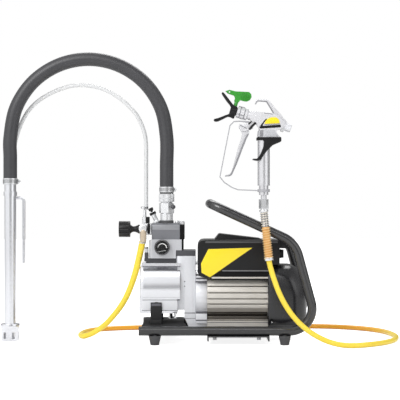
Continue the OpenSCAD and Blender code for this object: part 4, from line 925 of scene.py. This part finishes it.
def sweep_x(name, finish, half, stations, slot):
    """A (y, z) half outline, mirrored in y, swept through (x, inset) stations, in mm."""
    loop = half + [(-y, z) for y, z in reversed(half)]
    mid = (min(z for _, z in half) + max(z for _, z in half)) / 2
    bm = bmesh.new()
    rings = []
    for x, inset in stations:
        rings.append([bm.verts.new((x * MM, y * (1 - inset / 60) * MM,
                                    (mid + (z - mid) * (1 - inset / 70)) * MM)) for y, z in loop])
    skin(bm, rings)
    return piece(name, to_mesh(bm), finish, slot=slot)


def post(name, finish, outline, z0, z1, slot):
    """An (x, y) outline raised from z0 to z1, in mm."""
    bm = bmesh.new()
    low, high = ([bm.verts.new((x * MM, y * MM, z * MM)) for x, y in outline] for z in (z0, z1))
    skin(bm, [high, low])
    return piece(name, to_mesh(bm), finish, slot=slot, smooth_angle=30)


DRUM_Y, DRUM_Z, DRUM_RADIUS = 45, 149, 110


def drum_y(z):
    """The near face of the drum at a height, in mm."""
    return DRUM_Y - math.sqrt(DRUM_RADIUS ** 2 - (z - DRUM_Z) ** 2)


def make_housing_skin():
    """The smooth drum and the lower case of the hydraulic housing."""
    drum = [(drum_y(z), z) for z in (127.5 + 88.5 * k / 16 for k in range(17))]
    ends = [(-229, 8), (-228.4, 5), (-227, 2.6), (-224.6, 1), (-221, 0.2), (-216, 0), (-113, 0),
            (-112, 0.8)]
    sweep_x("housing_drum", BRIGHT, drum, ends, "cast_alloy")
    case = [(-48, 80.4), (-55, 81.2), (-59, 84), (-60.2, 89), (-60.2, 121), (-59.2, 124.6),
            (-57, 127)]
    sweep_x("housing_case", ALLOY, case, ends[:-2] + [(-121, 0), (-120, 0.8)], "cast_alloy")


def make_pump_details():
    # Dark grey lines painted as the shade under the ledges of the housing and the drive, and under
    # the flange.
    for k, (x0, x1, z0, z1) in enumerate(((-220, -112.5, 127, 129), (-222, -113, 118.6, 120.2),
                                          (-221, -120.5, 88, 89.6))):
        mirrored("housing_seam_%%s_%d" % k, SHADE_AND_HIGHLIGHT_GREY, (x0, 55, z0), (x1, 60.6, z1))
    for k, (z0, z1) in enumerate(((80, 82.4), (65, 66.2))):
        mirrored("drive_seam_%%s_%d" % k, SHADE_AND_HIGHLIGHT_GREY, (-100.4, 49, z0), (-68.6, 50.3, z1))
    mirrored("flange_seam_%s", SHADE_AND_HIGHLIGHT_GREY, (-221, 55, 214.4), (-111.6, 60.6, 216.6))
    mirrored("cap_band_%s", BAND, (-193, 44, 320), (-114.5, 45.5, 334.6), "cap_alloy", 0.4)
    mirrored("drive_foot_%s", ALLOY, (-100.6, 20, 42), (-36, 50, 52), "cast_alloy", 0.8)
    mirrored("drive_front_%s", ALLOY, (-120.6, 20, 89.8), (-101, 49.6, 245), "cast_alloy", 1)
    # White prisms painted as the highlight on the pump head's chamfered edges.
    for side, word in ((-1, "near"), (1, "far")):
        post("head_chamfer_highlight_" + word, BEVEL, [(-204.6, side * 43), (-194.2, side * 50.3),
                                           (-194.2, side * 43)], 238.4, 306, "cast_alloy")
    slab("foot_shadow", BLACK, [(-101.4, 67), (-99.6, 67), (-88.4, 43), (-101.4, 43)], -50.6, -50,
         slot="plastic_black", width=0)
    # Dark grey dishes painted as the shade in a recess and a notch of the drum.
    for x, z, wide, high in ((-161.5, 207.4, 17, 2.3), (-117.3, 208, 4.2, 2)):
        dish = bmesh.new()
        bmesh.ops.create_uvsphere(dish, u_segments=32, v_segments=12, radius=1)
        y = drum_y(z)
        for v in dish.verts:
            v.co = Vector((x + v.co.x * wide, y + v.co.y * 1.4, z + v.co.z * high)) * MM
        piece("housing_recess_%d" % -x, to_mesh(dish), SHADE_AND_HIGHLIGHT_GREY, slot="cap_alloy")
    for z in (171.6, 158):
        turned("drive_pin_%d" % z, BLACK, [(0, 1.5), (0.5, 1.5)], (-99.4, -50, z), NEAR, 12,
               slot="gauge_black")
    strip("head_ear", GASKET, (-215.4, -45.6, 226), (-204.4, 40, 254.6), "cap_alloy", 1)
    strip("head_ear_top", FACE, (-215, -45, 254.6), (-205.2, 40, 265), "cap_alloy", 1.5)
    turned("inlet_valve_knob", DARK_ALLOY, [(0, 5), (1, 6), (9, 6), (10, 5)], (-135, -50, 386),
           (0.5, -1, 0), 24, slot="cap_alloy")
    turned("head_dome", MACHINED, [(336, 9.4), (342, 9.4), (345, 7)], (-109, -26, 0), UP,
           32, slot="head_steel")
    strip("bracket_upright", PLATE, (-196.6, -67.2, 52), (-165, -60.4, 112.4), "plastic_black",
          1.2)
    # Grey painted as the highlight on the lit top of the black bracket.
    strip("bracket_top_highlight", SHADE_AND_HIGHLIGHT_GREY, (-196, -67.5, 101), (-165.6, -62, 111.4), "plastic_black", 2.4)
    strip("bracket_foot", PLATE, (-197.6, -88.2, 52), (-164.4, -66, 64), "plastic_black", 2)
    turned("drain_peg", BLACK, [(66, 3.4), (84, 3.4)], (-137.4, -50, 0), UP, 20,
           slot="plastic_black")
    turned("drain_screw", MACHINED, [(66, 4.4), (70, 4.4), (70.4, 3.2), (76, 3.2), (76.4, 4.4),
                                     (84, 4.4)], (-126.6, -50, 0), UP, 20,
           slot="bolt_steel")


make_cover()
make_cowl()
make_gauge()
make_inlet()
make_clamps()
make_guard()
make_regulator()
make_return_fitting()
make_gun()
make_tip_guard()
make_motor_details()
make_housing_skin()
make_pump_details()


# ---- stage ----
WORLD_LIGHT = 0.54
FLOOR_GREY = (0.85, 0.85, 0.85, 1)
FLOOR_GLOW = 0.85
FLOOR_MIRROR = 0.25
FLOOR_SIZE, FLOOR_DROP = 9, 0.0003
FULL_WHITE = (1, 1, 1, 1)
MIRROR_GAIN, MIRROR_MOST = 3.4, 1.2
# (place along the ramp, grey) of the room that mirrors see: by height, from left to right, and
# from front to back
HEIGHT_STOPS = ((0.0, 0.3), (0.24, 0.4), (0.62, 1.0), (1.0, 1.0))
SIDE_STOPS = ((0.0, 1.0), (0.34, 1.0), (0.46, 0.32), (0.55, 0.29), (0.68, 0.14), (0.86, 0.2),
              (1.0, 0.3))
BACK_STOPS = ((0.0, 1.0), (1.0, 0.5))
# Name, place, aim, size and power in W
LAMPS = (("key_left", (-1.8, -2.2, 2.2), (-0.1, 0, 0.3), (1.6, 1.6), 50),
         ("fill_right", (2.2, -2.0, 1.2), (0, 0, 0.3), (2.4, 2.0), 16),
         ("strip_front", (0, -2.3, 2.25), (0, 0, 0.1), (3.2, 0.2), 10),
         ("top_back", (0.2, 1.6, 2.4), (0, 0, 0.3), (2.0, 1.2), 34))


def make_floor():
    """White to the camera but for a soft shadow, and dim to mirrors."""
    bm = bmesh.new()
    bmesh.ops.create_grid(bm, x_segments=1, y_segments=1, size=FLOOR_SIZE)
    for v in bm.verts:
        v.co.z = -FLOOR_DROP
    mesh = to_mesh(bm)
    floor = bpy.data.objects.new("floor", mesh)
    bpy.context.scene.collection.objects.link(floor)
    mat = bpy.data.materials.new("floor_white")
    tree = Tree(mat)
    shader = tree.nodes["Principled BSDF"]
    tree.fill(shader, {"Base Color": FLOOR_GREY, "Roughness": 1.0, "Specular IOR Level": 0.0})
    clear, mirror = tree.rays()
    glow = tree.add("Emission", {"Strength": tree.value(
        "ADD", tree.value("MULTIPLY", clear, FLOOR_GLOW),
        tree.value("MULTIPLY", mirror, FLOOR_MIRROR))})
    total = tree.add("AddShader", {0: shader.outputs["BSDF"], 1: glow.outputs["Emission"]})
    tree.fill(tree.nodes["Material Output"], {"Surface": total.outputs["Shader"]})
    mesh.materials.append(mat)


def make_world():
    """White to the camera; to mirrors a room with a dim horizon in front and a dark right side."""
    world = bpy.data.worlds.new("world")
    bpy.context.scene.world = world
    bpy.context.scene.view_settings.view_transform = "Standard"
    tree = Tree(world)
    light = tree.nodes["Background"]
    tree.fill(light, {"Color": FULL_WHITE, "Strength": WORLD_LIGHT})
    place = tree.add("SeparateXYZ", {"Vector": tree.add("TexCoord").outputs["Generated"]}).outputs
    height = tree.ramp(place["Z"], -0.1, 0.6, HEIGHT_STOPS)
    side = tree.ramp(place["X"], -1, 1, SIDE_STOPS)
    back = tree.ramp(place["Y"], -0.2, 0.5, BACK_STOPS)
    front = tree.value("MULTIPLY", tree.value("MULTIPLY", height, side), MIRROR_GAIN)
    room = tree.value("MULTIPLY", tree.value("MINIMUM", front, MIRROR_MOST), back)
    room = tree.add("Background", {"Color": room})
    white = tree.add("Background", {"Color": FULL_WHITE})
    clear, mirror = tree.rays()
    first = tree.add("MixShader", {0: mirror, 1: light.outputs[0], 2: room.outputs[0]})
    second = tree.add("MixShader", {0: clear, 1: first.outputs[0], 2: white.outputs[0]})
    tree.fill(tree.nodes["World Output"], {"Surface": second.outputs[0]})


def add_lamp(name, at, aim, size, power):
    data = bpy.data.lights.new(name, "AREA")
    data.shape = "RECTANGLE"
    data.size, data.size_y = size
    data.energy = power
    lamp = bpy.data.objects.new(name, data)
    lamp.location = at
    lamp.rotation_euler = (Vector(aim) - Vector(at)).to_track_quat("-Z", "Y").to_euler()
    bpy.context.scene.collection.objects.link(lamp)


make_floor()
make_world()
for values in LAMPS:
    add_lamp(*values)
